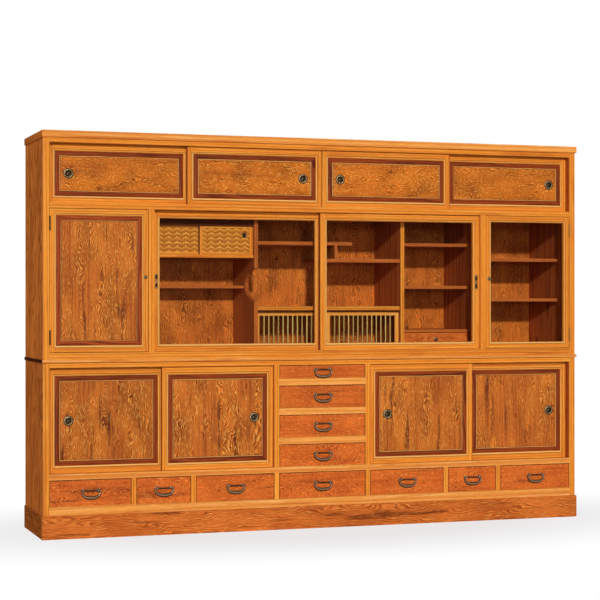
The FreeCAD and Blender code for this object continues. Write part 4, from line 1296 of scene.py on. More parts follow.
@dataclass(kw_only=True)
class FramedDoor:
    """A door's golden frame round a panel or a pane.

    The bead's width is taken from stile and rail. drop is the depth from the face to what the frame holds.
    """

    stile: float
    rail: float
    bead: float = 9.0
    drop: float = 4.0
    slip_gap: float = 2.0
    thickness: float = 21.0

    def framing(self, x: Span, z: Span, y: float, grain: Grain) -> list[Surface]:
        """Stiles, rails, the pale bead inside them and the slips behind it.

        Args:
            x: Limits of the frame along X.
            z: Limits along Z.
            y: Face of the frame.
            grain: Source of places in a log.

        Returns:
            The frame's surfaces.
        """
        run = (y, y + self.thickness)
        inner_x = drawn_in(x, self.stile - self.bead)
        inner_z = drawn_in(z, self.rail - self.bead)
        surfaces = stiles_and_rails(x, run, z, (inner_x, inner_z), FRAME_WOOD, grain)
        rows, wear = bead_profile(self.bead, y, self.drop)
        # Each side of the bead gets its own painted highlight or painted shade, laid over its profile's
        # values.
        rub_and_painted_light = np.array(BEAD_SIDE_LIGHT)[:, None] * (wear > -0.5) + wear
        surfaces += mitred_frame(inner_x, inner_z, rows, BEAD_WOOD, grain, wear=rub_and_painted_light)
        slips = rectangle((0.0, self.bead), (y + self.drop + self.slip_gap, run[1]))
        return surfaces + mitred_frame(inner_x, inner_z, slips, FRAME_WOOD, grain)


@dataclass(kw_only=True)
class SlidingDoor(FramedDoor):
    """A framed door that runs on tongues in tracks at its floor and head."""

    floor_tongue: float = 4.0
    head_tongue: float = 12.7
    tongue: Span = (6.5, 14.5)
    tongue_lap: float = 1.0
    strip_inset: float = 1.0

    def running(self, x: Span, y: float, ends: Span, meeting: int,
                grain: Grain) -> tuple[Span, Span, list[Surface]]:
        """The frame with its tongues and, on a front door, the dark strip of painted shade along the edge
        that laps the door behind.

        Args:
            x: Limits of the door along X.
            y: Face of the door.
            ends: Lowest and highest level of the tongues.
            meeting: Side of the lapping edge, minus one or one, or nought for a door behind.
            grain: Source of places in a log.

        Returns:
            Limits of the frame along X and Z, and the surfaces.
        """
        z = (ends[0] + self.floor_tongue, ends[1] - self.head_tongue)
        surfaces = []
        if meeting:
            depths = (y + self.strip_inset, y + self.thickness)
            x, strip = meeting_strip(x, depths, z, meeting, grain)
            surfaces.append(strip)
        surfaces += self.framing(x, z, y, grain)
        for level in ((ends[0], z[0] + self.tongue_lap), (z[1] - self.tongue_lap, ends[1])):
            surfaces.append(board(x, moved(self.tongue, y), level, Axis.X, FRAME_WOOD, grain, ease=0.5))
        return x, z, surfaces


PANEL_FACE = 5.0
"""Thickness of a panel's inlaid face."""
PANEL_LINING = (9.2, 12.0)
"""Depths of the lining behind a panel's face."""


def inlaid_panel(x: Span, z: Span, y: float, border: float, lines: Span, finish: Wood, axis: Axis,
                 grain: Grain, tone: float, hole: tuple[Span, float] | None = None) -> list[Surface]:
    """A panel with a mitred dark border, two inlaid lines, a burl field and a lining behind them.

    Args:
        x: Limits along X.
        z: Limits along Z.
        y: Plane of the panel's face.
        border: Width of the dark border.
        lines: Widths of the pale line and of the dark line inside it.
        finish: Finish of the field.
        axis: Way of the field's grain.
        grain: Source of places in a log.
        tone: How much lighter or darker than its finish the border is.
        hole: Centre and radius of a round hole through the field, or None.

    Returns:
        The panel's surfaces, the field and the lining last.
    """
    surfaces = []
    field_x, field_z = x, z
    depths = (y, y + PANEL_FACE)
    for width, band in ((border, BORDER_WOOD), (lines[0], LIGHT_LINE), (lines[1], DARK_INLAY_AND_SHADE)):
        surfaces += mitred_frame(field_x, field_z, rectangle((0.0, width), depths), band, grain,
                                 tone=tone if band is BORDER_WOOD else 0.0)
        field_x = drawn_in(field_x, width)
        field_z = drawn_in(field_z, width)
    if hole:
        surfaces.append(pierced_plate(field_x, field_z, depths, *hole, axis, finish, grain))
    else:
        surfaces.append(board(field_x, depths, field_z, axis, finish, grain, ease=0.2))
    lining = moved(PANEL_LINING, y)
    surfaces.append(board(x, lining, z, axis, INTERIOR_WOOD, grain, ease=0.2))
    return surfaces


@dataclass(kw_only=True)
class PanelDoor(SlidingDoor):
    """A sliding door with a dark border, inlaid lines, a burl field and a round pull.

    meetings and the field shades have an entry for each door of a row: the side on which it laps the
    door behind it, or nought, and the painted shade laid on its field, below nought for a darker field.
    """

    prefix: str
    number: int
    finish: Wood
    axis: Axis
    border_tone: float
    field_tones: tuple[float, ...] = (0.0, 0.0, 0.0, 0.0)
    stile: float = 28.0
    clear: float = 1.2
    border: float = 21.0
    lines: Span = (2.6, 1.2)
    pull_inset: float = 88.0
    meetings: tuple[int, ...] = (0, -1, 1, 0)

    def build(self) -> None:
        """Build the door's pieces on its body."""
        name = f"{self.prefix}_{self.number}"
        box_x, (y, _), box_z = node_limits(name)
        grain = Grain(name)
        meeting = self.meetings[self.number - 1]
        x, z, surfaces = self.running(drawn_in(box_x, self.clear), y, box_z, meeting, grain)
        Piece(f"{name}_framing", name, Slot.DOOR, surfaces, (name,)).build()
        inner_x = drawn_in(x, self.stile)
        inner_z = drawn_in(z, self.rail)
        pull_x = x[0] + self.pull_inset if self.number % 2 else x[1] - self.pull_inset
        pull = RoundPull()
        plane = y + self.drop
        centre = (pull_x, (inner_z[0] + inner_z[1]) / 2)
        hole = (centre, pull.radius - pull.lap)
        *trim, burl, lining = inlaid_panel(inner_x, inner_z, plane, self.border, self.lines, self.finish,
                                           self.axis, grain, self.border_tone, hole)
        # Painted shade on the field of a door that stands in shade.
        burl.tone += self.field_tones[self.number - 1]
        Piece(f"{name}_panel", name, Slot.DOOR, [*trim, burl, lining]).build()
        metal = [pull.surface((centre[0], plane, centre[1]))]
        Piece(f"{name}_pull", name, Slot.BRONZE, metal).build()


@dataclass(kw_only=True)
class TopDoor(PanelDoor):
    """A door of the top row."""

    prefix: str = "top_door"
    rail: float = 29.0
    finish: Wood = TOP_FIELD
    axis: Axis = Axis.X
    border_tone: float = -0.12


@dataclass(kw_only=True)
class LowerDoor(PanelDoor):
    """A door of the lower cabinet."""

    prefix: str = "lower_door"
    rail: float = 32.0
    finish: Wood = LOWER_FIELD
    axis: Axis = Axis.Z
    border_tone: float = -0.14
    # Painted shade on the first lower door's field, which stands in the back track.
    field_tones: tuple[float, ...] = (-0.09, 0.0, 0.0, 0.0)


@dataclass(kw_only=True)
class GlassDoor(SlidingDoor):
    """A glazed sliding door with an oblong flush pull; the right one laps the left one."""

    side: int
    stile: float = 33.0
    rail: float = 32.0
    bead: float = 10.0
    drop: float = PANE_DROP
    head_tongue: float = 11.5
    proud: float = 1.0
    pull: Span = (17.0, 66.0)
    pull_height: float = 311.0
    plate_rise: float = 0.55
    plate_depth: float = 1.0
    dish_margin: float = 1.2
    dish_stretch: float = 1.9
    dish_place: float = 0.55

    def build(self) -> None:
        """Build frame, pane and pull on the door's body."""
        word = "left" if self.side < 0 else "right"
        body = f"glass_door_{word}"
        node = f"{body}_frame"
        x, box_y, box_z = node_limits(node)
        y = box_y[0] + self.proud
        x, z, surfaces = self.running(x, y, box_z, -1 if self.side > 0 else 0, Grain(node))
        Piece(f"{node}_wood", body, Slot.DOOR, surfaces, (node,)).build()
        pull_x = x[0] + self.stile / 2 if self.side < 0 else x[1] - self.stile / 2
        metal = self.flush_pull((pull_x, y, z[0] + self.pull_height))
        Piece(f"{node}_pull", body, Slot.BRONZE, metal).build()
        glass_pane(f"glass_pane_{word}", body)

    def flush_pull(self, middle: Place) -> list[Surface]:
        """A thin plate with two oval dishes.

        Args:
            middle: Its middle, on the face of the stile.

        Returns:
            The plate and its two dishes.
        """
        x, y, z = middle
        half_x, half_z = self.pull[0] / 2, self.pull[1] / 2
        face = y - self.plate_rise
        plate_y = (face, y + self.plate_depth)
        grain = Grain("flush_pull")
        surfaces = [board(about(x, half_x), plate_y, about(z, half_z), Axis.Z, BRASS, grain, ease=0.5)]
        dish = np.array([(0.2, -0.3, 0), (1.0, -0.3, 0), (1.0, 0.35, 0.2), (0.88, 0.45, 1), (0.76, 0.25, -1),
                         (0.5, 0.1, -1), (0.1, 0.1, -1)]) * (half_x - self.dish_margin, 1, 1)
        for step in (-1, 1):
            oval = turned(facing(dish), (0.0, 0.0, 0.0), Axis.Y, BRASS, segments=28)
            centre = (x, face, z + step * half_z * self.dish_place)
            oval.points = oval.points * (1, 1, self.dish_stretch) + centre
            surfaces.append(oval)
        return surfaces


def glass_pane(node: str, body: str) -> None:
    """Build a pane of glass with eased edges in the place of its node."""
    surface = board(*node_limits(node), Axis.X, GLASS, Grain(node), ease=0.4)
    Piece(f"{node}_glass", body, Slot.GLASS, [surface], (node,)).build()


@dataclass(kw_only=True)
class HingedDoor(FramedDoor):
    """A hinged door of the middle row: a burl panel on the left, glass on the right."""

    side: int
    stile: float = 27.0
    rail: float = 29.0
    thickness: float = 22.0
    gap: float = 2.0
    border: float = 21.0
    lines: Span = (1.8, 1.2)
    border_tone: float = 0.14
    knob_height: float = 330.0
    hinge_length: float = 63.0
    hinge_end: float = 66.0
    pin_depth: float = 5.0
    knuckle: float = 3.5
    knuckle_gap: float = 0.3
    leaf: float = 0.8
    leaf_starts: Span = (1.0, 2.5)
    leaf_end: float = 22.0

    def build(self) -> None:
        """Build the frame, what it holds, its knob and the moving hinge halves."""
        glazed = self.side > 0
        body = "right_hinged_door" if glazed else "left_hinged_door"
        node = "right_hinged_door_frame" if glazed else body
        x = mirrored((Plan.partition[1] + self.gap, Plan.inner_half - self.gap), self.side)
        z = drawn_in(Plan.middle_band, self.gap)
        y = Plan.face
        grain = Grain(node)
        Piece(f"{node}_wood", body, Slot.DOOR, self.framing(x, z, y, grain), (node,)).build()
        if glazed:
            glass_pane("right_hinged_pane", body)
        else:
            panel = inlaid_panel(drawn_in(x, self.stile), drawn_in(z, self.rail), y + self.drop, self.border,
                                 self.lines, LOWER_FIELD, Axis.Z, grain, self.border_tone)
            Piece(f"{node}_panel", body, Slot.DOOR, panel).build()
        knob_x = (Plan.partition[1] + self.gap + self.stile / 2) * self.side
        metal = [knob((knob_x, y, Plan.middle_band[0] + self.knob_height))]
        metal += self.hinge_halves(True)
        Piece(f"{node}_metal", body, Slot.BRONZE, metal).build()

    def hinge_halves(self, moving: bool) -> list[Surface]:
        """Knuckles and leaves of the two butt hinges.

        Args:
            moving: Whether to make the door's halves, with the middle knuckles, or the side's.

        Returns:
            The hinge surfaces.
        """
        axis_x = (Plan.inner_half - self.gap / 2) * self.side
        axis_y = Plan.front + self.pin_depth
        length = (self.hinge_length - 2 * self.knuckle_gap) / 3
        radius = self.knuckle
        # The same hinge metal is dark bronze on the left and brass on the right: painted shade and painted
        # light.
        finish = DARK_BRONZE if self.side < 0 else BRASS
        edge = Plan.inner_half - (self.gap if moving else self.leaf)
        leaf_x = mirrored((edge, edge + self.leaf), self.side)
        leaf_y = (axis_y + self.leaf_starts[moving], axis_y + self.leaf_end)
        rounding = {0: (1.6, 0.4), 1: (0.4, 0.4), 2: (0.4, 1.6)}
        surfaces = []
        for centre in drawn_in(Plan.middle_band, self.hinge_end):
            for number in (1,) if moving else (0, 2):
                low = centre - self.hinge_length / 2 + number * (length + self.knuckle_gap)
                foot, head = rounding[number]
                profile = [
                    (0.5, 0, -0.4), (radius - foot, 0, -0.3), (radius, foot, 0.1),
                    (radius, length - head, 0.1), (radius - head, length, -0.3), (0.5, length, -0.4)]
                surfaces.append(turned(profile, (axis_x, axis_y, low), Axis.Z, finish, segments=20))
                leaf_z = (low, low + length)
                surfaces.append(board(leaf_x, leaf_y, leaf_z, Axis.Z, finish, Grain("leaf"), ease=0.2))
        return surfaces


def knob(foot: Place) -> Surface:
    """A small turned knob that stands out towards -Y.

    Args:
        foot: Centre of its foot, on the face that it stands on.

    Returns:
        The knob's surface.
    """
    radius = 7.0
    middle = 14.5
    angle = np.linspace(-1.1, math.pi / 2, 12)
    ball = np.stack([radius * np.cos(angle), middle + radius * np.sin(angle), np.full_like(angle, 0.35)], 1)
    ball[-1, 0] = 0.4
    neck = np.array([(0.5, -0.5, 0), (8.0, -0.5, 0), (8.0, 0.7, 0.4), (6.8, 1.5, 0.8), (4.0, 1.7, 0),
                     (2.9, 3.0, 0), (2.9, 7.0, 0)])
    return turned(facing(np.concatenate([neck, ball])), foot, Axis.Y, BRONZE, segments=28)


@dataclass
class SmallDoors:
    """The woven and the latticed sliding doors of the display interior."""

    thickness: float = 9.0
    woven_frame: float = 13.0
    strip: Span = (10.0, 5.0)
    strip_gaps: Span = (0.6, 0.3)
    strip_thickness: float = 0.7
    strip_rise: float = 1.5
    strip_swell: tuple[float, ...] = (1.0, 0.6, 0.25, 0.6)
    tuck: float = 2.0
    meeting_width: float = 4.0
    meeting_inset: float = 0.5
    pull_inset: float = 38.0
    pull_height: float = 90.0
    pull_rise: float = 1.4
    lattice_frame: float = 18.0
    lattice_tuck: float = 0.5
    bar: float = 5.0
    bar_depths: Span = (2.0, 7.0)
    bar_spread: float = 0.3
    bars: int = 13

    def build(self) -> None:
        """Build both pairs."""
        for word in ("left", "right"):
            self.woven(word)
            self.lattice(word)

    def framing(self, x: Span, y: float, z: Span, width: float, finish: Wood, grain: Grain) -> list[Surface]:
        """Stiles and rails of one width."""
        opening = (drawn_in(x, width), drawn_in(z, width))
        return stiles_and_rails(x, (y, y + self.thickness), z, opening, finish, grain, ease=0.8)

    def woven(self, word: str) -> None:
        """Build a frame round a herringbone weave of shaved strips, with a round pull.

        A level strip passes over two uprights and under two. Each upright shifts that pattern by one level
        strip, up and down in turn, which makes the zigzag, and the strips swell at its upper turns.

        Args:
            word: left or right.
        """
        node = f"woven_door_{word}"
        x, (y, _), z = node_limits(node)
        grain = Grain(node)
        surfaces = []
        if word == "right":
            # The right door's lapping edge is a dark strip: painted shade of the step between the woven
            # doors.
            depths = (y + self.meeting_inset, y + self.thickness)
            x, strip = meeting_strip(x, depths, z, -1, grain, self.meeting_width, DARK_INLAY_AND_SHADE)
            surfaces.append(strip)
        surfaces += self.framing(x, y, z, self.woven_frame, FRAME_WOOD, grain)
        inset = self.woven_frame - self.tuck
        inner_x = drawn_in(x, inset)
        inner_z = drawn_in(z, inset)
        plane = y + self.thickness / 2
        columns = round((inner_x[1] - inner_x[0]) / self.strip[0])
        rows = round((inner_z[1] - inner_z[0]) / self.strip[1])
        row, column = np.meshgrid(np.arange(rows), np.arange(columns), indexing="ij")
        shift = np.array([0, 1, 2, 1])[column % 4]
        swell = np.array(self.strip_swell)[column % 4]
        over = np.where((row + shift) % 4 < 2, swell, -swell)
        for axis, along, across, passes, gap, finish in (
                (Axis.X, inner_x, inner_z, over, self.strip_gaps[1], WOVEN_WOOD),
                (Axis.Z, inner_z, inner_x, -over.T, self.strip_gaps[0], WOVEN_UPRIGHT)):
            pitch = (across[1] - across[0]) / len(passes)
            for number, levels in enumerate(passes):
                centre = across[0] + (number + 0.5) * pitch
                surfaces.append(woven_strip(along, centre, pitch - gap, levels, self.strip_rise, plane,
                                            self.strip_thickness, axis, finish, grain))
        Piece(f"{node}_weave", node, Slot.WOVEN, surfaces, (node,)).build()
        pull_x = x[0] + self.pull_inset if word == "left" else x[1] - self.pull_inset
        button = [(0.5, -2.0, 0), (12.4, -2.0, 0), (13.4, 0.8, -0.1), (12.8, 3.0, 0.8), (11.4, 3.3, 0.5),
                  (10.4, 1.7, -1), (0.5, 1.4, -1)]
        centre = (pull_x, plane - self.pull_rise, z[0] + self.pull_height)
        pull = turned(facing(button), centre, Axis.Y, BRASS, segments=32)
        Piece(f"{node}_pull", node, Slot.BRONZE, [pull]).build()

    def lattice(self, word: str) -> None:
        """Build a frame with upright bars.

        Args:
            word: left or right.
        """
        node = f"lattice_door_{word}"
        x, (y, _), z = node_limits(node)
        grain = Grain(node)
        surfaces = self.framing(x, y, z, self.lattice_frame, BEAD_WOOD, grain)
        inset = self.lattice_frame
        pitch = (x[1] - x[0] - 2 * inset) / (self.bars + 1)
        inner_z = (z[0] + inset - self.lattice_tuck, z[1] - inset + self.lattice_tuck)
        bar_y = moved(self.bar_depths, y)
        for number in range(1, self.bars + 1):
            centre = x[0] + inset + pitch * number
            bar_x = about(centre, self.bar / 2)
            bar = board(bar_x, bar_y, inner_z, Axis.Z, LATTICE_WOOD, grain, ease=0.9)
            bar.tone = grain.tone(self.bar_spread)
            surfaces.append(bar)
        Piece(f"{node}_bars", node, Slot.LATTICE, surfaces, (node,)).build()


POST_PROFILE = [
    (0.5, -0.5, 0), (8.0, -0.5, 0), (8.0, 0.5, 0.2), (7.0, 1.3, 0.8), (5.4, 1.2, -0.4), (4.5, 2.4, -0.4),
    (4.3, 6.0, 0), (4.5, 10.5, 0.2), (4.2, 12.6, 0.6), (3.0, 13.7, 0.8), (0.5, 14.0, 0.5)]
"""Radius, height and wear along a drawer's post and its plate."""


@dataclass
class Drawer:
    """A drawer: burl front with a pale edge line, its box, two posts and a drop bail."""

    name: str
    x: Span
    floor: float
    height: float
    bail_half: float = 41.0
    bail_drop: float = 35.0
    bail_wire: float = 3.6
    bail_belly: float = 3.6
    bail_rod: float = 3.2
    bail_fullness: float = 0.78
    stand_off: float = 9.0
    eye: float = 3.9
    rise: float = 10.0
    post_place: float = 32.7

    def build(self) -> None:
        """Build the front, the box, the posts and the bail."""
        wood = drawer_boards(self.x, self.floor, self.height, Plan.face, Grain(self.name))
        Piece(f"{self.name}_wood", self.name, Slot.DRAWER, wood, (self.name,)).build()
        centre = (self.x[0] + self.x[1]) / 2
        pull_z = self.floor + self.height / 2 + self.rise
        posts = [self.post((centre + side * self.post_place, Plan.face, pull_z)) for side in (-1, 1)]
        Piece(f"{self.name}_posts", self.name, Slot.BRONZE, posts).build()
        bail = f"{self.name}_bail"
        metal = self.bail((centre, Plan.face - self.stand_off, pull_z))
        Piece(f"{bail}_metal", bail, Slot.BRONZE, metal, (bail,)).build()

    def post(self, foot: Place) -> Surface:
        """A post on a petalled plate."""
        return turned(facing(POST_PROFILE), foot, Axis.Y, BAIL_BRONZE, beads=(8, -0.25))

    def bail(self, centre: Place) -> list[Surface]:
        """A half-oval bail, thicker at its belly, with eyes at its ends and a rod through both posts.

        The path is (w cos a, -d sin a) for a from 0 to pi, with both parts raised to a power below one, which
        fills its corners, and the wire's radius grows with sin(a) squared.

        Args:
            centre: Middle of the axis of its pins.

        Returns:
            The wire, the eyes and the rod.
        """
        x, y, z = centre
        angle = np.linspace(0, math.pi, 41)
        half = self.bail_half
        drop = self.bail_drop - self.bail_belly
        sine = np.clip(np.sin(angle), 0.0, 1.0)
        across = np.sign(np.cos(angle)) * np.abs(np.cos(angle)) ** self.bail_fullness
        down = sine ** self.bail_fullness
        path = np.stack([x - half * across, np.full_like(angle, y), z - drop * down], 1)
        surfaces = [tube(path, self.bail_wire + self.bail_belly * np.sin(angle) ** 2, BAIL_BRONZE)]
        turn = np.linspace(-math.pi / 2, math.pi / 2, 11)
        cosine = np.cos(turn)
        eye = np.stack([np.maximum(self.eye * cosine, 0.3), self.eye * np.sin(turn), 0.4 * cosine], 1)
        for side in (-1, 1):
            surfaces.append(turned(eye, (x + side * half, y, z), Axis.X, BAIL_BRONZE, segments=20))
        thick = self.bail_rod
        rod = [(0.4, -half, 0), (thick, 0.3 - half, 0), (thick, half - 0.3, 0), (0.4, half, 0)]
        surfaces.append(turned(rod, centre, Axis.X, BAIL_BRONZE, segments=16))
        return surfaces


DRAWER_GAP = 1.0
"""Clearance round a drawer in its opening."""
DRAWER_FRONT = 18.0
"""Thickness of a drawer front."""
EDGE_LINE = 2.0
"""Width of the line round a drawer front."""
BOX_BOARD = 10.0
"""Thickness of a drawer's sides and back."""
BOX_CLEAR = 20.0
"""How much lower a drawer's box is than its opening."""
BOX_FLOOR = (4.0, 10.0)
"""Levels of a drawer's bottom board over the opening's floor."""


def drawer_boards(opening: Span, floor: float, height: float, y: float, grain: Grain) -> list[Surface]:
    """A drawer: a burl front with a pale line along its foot and a dark one round the rest, which is painted
    shade of the gap, and its box.

    Args:
        opening: Limits of the opening along X.
        floor: Floor of the opening.
        height: Height of the opening.
        y: Plane of the front's face.
        grain: Source of places in a log.

    Returns:
        The front's surfaces and the box's boards.
    """
    x = drawn_in(opening, DRAWER_GAP)
    z = (floor + DRAWER_GAP, floor + height - DRAWER_GAP)
    front = (y, y + DRAWER_FRONT)
    line = eased_outline(rectangle((0.0, EDGE_LINE), front), ease=0.7)
    # Painted shade: the edge line is dark on the top and sides, where the gap round the drawer is in shade.
    surfaces = mitred_frame(x, z, line, DARK_INLAY_AND_SHADE, grain)
    surfaces[0].finish = FRAME_WOOD
    face_x = drawn_in(x, EDGE_LINE)
    face_z = drawn_in(z, EDGE_LINE)
    surfaces.append(board(face_x, front, face_z, Axis.X, DRAWER_WOOD, grain, ease=0.4))
    run = (front[1], Plan.drawer_back)
    inside = drawn_in(x, BOX_BOARD)
    back = run[1] - BOX_BOARD
    levels = (floor, floor + height - BOX_CLEAR)
    bottom = moved(BOX_FLOOR, floor)
    return surfaces + [
        board((x[0], inside[0]), run, levels, Axis.Y, BOX_WOOD, grain, ease=0.9),
        board((inside[1], x[1]), run, levels, Axis.Y, BOX_WOOD, grain, ease=0.9),
        board(inside, (back, run[1]), levels, Axis.X, BOX_WOOD, grain, ease=0.9),
        board(inside, (run[0], back), bottom, Axis.Y, BOX_WOOD, grain, ease=0.4),
    ]


@dataclass
class DisplayInterior:
    """Shelves, partitions and the small inner drawer behind the glass.

    Fronts are depths behind the front plane, and a shelf is its height above the middle floor and its
    thickness.
    """

    body: str = "cabinet"
    interior_front: float = 100.0
    shelf_front: float = 112.0
    cupboard_front: float = 120.0
    bay_front: float = 138.0
    narrow_front: float = 265.0
    rail: float = 40.0
    scoop_centre: float = 298.0
    scoop_half: float = 75.0
    scoop_reach: float = 150.0
    scoop_lip: Span = (-0.6, 6.0)
    scoop_lip_proud: float = 0.4
    woven_shelf: Span = (419.0, 15.0)
    woven_head: float = 563.0
    narrow_shelf: Span = (282.0, 13.0)
    lattice_head: Span = (172.0, 182.0)
    lattice_head_inset: float = 8.0
    lattice_sill: float = 2.0
    lattice_shelf: Span = (182.0, 17.0)
    lattice_shelf_tone: float = -0.14
    bay_shelves: tuple[Span, ...] = ((481.0, 15.0), (281.0, 15.0), (77.0, 13.0), (0.0, 13.0))
    cupboard_shelves: tuple[Span, ...] = ((413.0, 15.0), (222.0, 15.0))
    high_shelf: Span = (480.0, 16.0)
    high_end: float = 180.0
    low_shelf: Span = (403.0, 16.0)
    low_start: float = 50.0
    strut: Span = (94.0, 108.0)
    drawer_height: float = 64.0

    def build(self) -> None:
        """Build the fixed boards and the inner drawer."""
        self.scooped_partition()
        self.shelves()
        self.staggered()
        self.inner_drawer()

    def shelf(self, x: Span, depth: float, level: Span, grain: Grain,
              edge: Wood = SHELF_EDGE) -> list[Surface]:
        """A lipped shelf whose edge stands at a depth, at the height and with the thickness in level."""
        z = moved((0.0, level[1]), Plan.middle_band[0] + level[0])
        return lipped(x, (Plan.front + depth, Plan.rear), z, Axis.X, grain, edge=edge)

    def rail_run(self) -> Span:
        """Limits of the rails, the sill and the strut along Y."""
        return Plan.front + self.shelf_front, Plan.front + (self.shelf_front + self.rail)

    def scooped_partition(self) -> None:
        """The partition with a half-oval scoop, (reach cos a, half sin a) about a point on its front edge."""
        grain = Grain("scooped_partition")
        front = Plan.front + self.interior_front
        back = Plan.rear
        low, high = Plan.middle_band
        centre = low + self.scoop_centre
        angle = np.linspace(math.pi / 2, -math.pi / 2, 41)
        deep = self.scoop_reach * np.cos(angle)
        oval = np.stack([front + deep, centre + self.scoop_half * np.sin(angle)], 1)
        corners = np.concatenate([[(front, low), (back, low), (back, high), (front, high)], oval])
        flat = prism(corners, Plan.scoop, Axis.X, INTERIOR_WOOD, grain, ease=0.8)
        flat.grain = flat.points[:, (2, 1, 0)] * MM + grain.place()
        lip_x = (Plan.scoop[0] - self.scoop_lip_proud, Plan.scoop[1] + self.scoop_lip_proud)
        lip_y = moved(self.scoop_lip, front)
        lips = [board(lip_x, lip_y, levels, Axis.Z, SHELF_EDGE, grain, ease=0.8)
                for levels in ((low, centre - self.scoop_half), (centre + self.scoop_half, high))]
        surfaces = [flat, *lips]
        Piece("scooped_partition_board", self.body, Slot.INTERIOR, surfaces, ("scooped_partition",)).build()

    def shelves(self) -> None:
        """Fixed shelves, head rails, sill, display partition and side-cupboard shelves."""
        grain = Grain("fixed_shelves")
        woven_x = (-Plan.partition[0], Plan.scoop[0])
        centre_x = (Plan.scoop[1], Plan.display[0])
        bay_x = (Plan.display[1], Plan.partition[0])
        cupboard_x = (Plan.partition[1], Plan.inner_half)
        floor, head = Plan.middle_band
        rail_run = self.rail_run()
        surfaces = self.shelf(woven_x, self.shelf_front, self.woven_shelf, grain, FRAME_WOOD)
        woven_z = (floor + self.woven_head, head)
        # The head board over the woven doors takes the dark finish: painted shade under the glass doors' top
        # rail.
        surfaces.append(board(woven_x, rail_run, woven_z, Axis.X, DARK_INLAY_AND_SHADE, grain, ease=0.5))
        surfaces += self.shelf(woven_x, self.narrow_front, self.narrow_shelf, grain)
        set_back = (rail_run[0] + self.lattice_head_inset, rail_run[1])
        lattice_z = moved(self.lattice_head, floor)
        sill_z = (floor, floor + self.lattice_sill)
        # The head rail over the lattice doors takes the dark finish: painted shade under the shelf.
        surfaces.append(board(centre_x, set_back, lattice_z, Axis.X, DARK_INLAY_AND_SHADE, grain, ease=0.5))
        surfaces.append(board(centre_x, rail_run, sill_z, Axis.X, INTERIOR_WOOD, grain, ease=0.3))
        lip, deck = self.shelf(centre_x, self.shelf_front, self.lattice_shelf, grain, FRAME_WOOD)
        lip.tone += self.lattice_shelf_tone
        surfaces += [lip, deck]
        display_run = (Plan.front + self.interior_front, Plan.rear)
        surfaces += lipped(Plan.display, display_run, Plan.middle_band, Axis.Z, grain)
        for level in self.bay_shelves:
            surfaces += self.shelf(bay_x, self.bay_front, level, grain)
        for side in (-1, 1):
            for level in self.cupboard_shelves:
                surfaces += self.shelf(mirrored(cupboard_x, side), self.cupboard_front, level, grain)
        Piece("fixed_shelf_boards", self.body, Slot.INTERIOR, surfaces, ("fixed_shelves",)).build()

    def staggered(self) -> None:
        """Two staggered shelves and the strut between them."""
        grain = Grain("staggered_shelves")
        floor = Plan.middle_band[0]
        surfaces = self.shelf((Plan.scoop[1], self.high_end), self.shelf_front, self.high_shelf, grain)
        surfaces += self.shelf((self.low_start, Plan.display[0]), self.shelf_front, self.low_shelf, grain)
        rail_run = self.rail_run()
        levels = (floor + sum(self.low_shelf), floor + self.high_shelf[0])
        surfaces.append(board(self.strut, rail_run, levels, Axis.Z, SHELF_EDGE, grain, ease=1.0))
        Piece("staggered_shelf_boards", self.body, Slot.INTERIOR, surfaces, ("staggered_shelves",)).build()

    def inner_drawer(self) -> None:
        """The low drawer at the foot of the display bay, on its lowest shelf."""
        y = Plan.front + self.bay_front
        floor = Plan.middle_band[0] + sum(self.bay_shelves[-1])
        opening = (Plan.display[1], Plan.partition[0])
        wood = drawer_boards(opening, floor, self.drawer_height, y, Grain("inner_drawer"))
        Piece("inner_drawer_wood", "inner_drawer", Slot.DRAWER, wood, ("inner_drawer",)).build()
        metal = [knob((sum(opening) / 2, y, floor + self.drawer_height / 2))]
        Piece("inner_drawer_knob", "inner_drawer", Slot.BRONZE, metal).build()


@dataclass(frozen=True)
class Lamp:
    """A far, soft-edged lamp in front of the cabinet.

    turn and rise are the degrees that it stands to the left of the front and above the level. spread is
    the degrees that it fills in the sky, which soften its shadows.
    """

    name: str
    turn: float
    rise: float
    power: float
    spread: float
    place: Place = (-1.0, -6.0, 3.5)

    def build(self) -> None:
        """Hang the lamp."""
        data = bpy.data.lights.new(self.name, "SUN")
        data.energy = self.power
        data.angle = math.radians(self.spread)
        lamp = bpy.data.objects.new(self.name, data)
        lamp.rotation_euler = (math.pi / 2 - math.radians(self.rise), 0.0, -math.radians(self.turn))
        lamp.location = self.place
        bpy.context.scene.collection.objects.link(lamp)


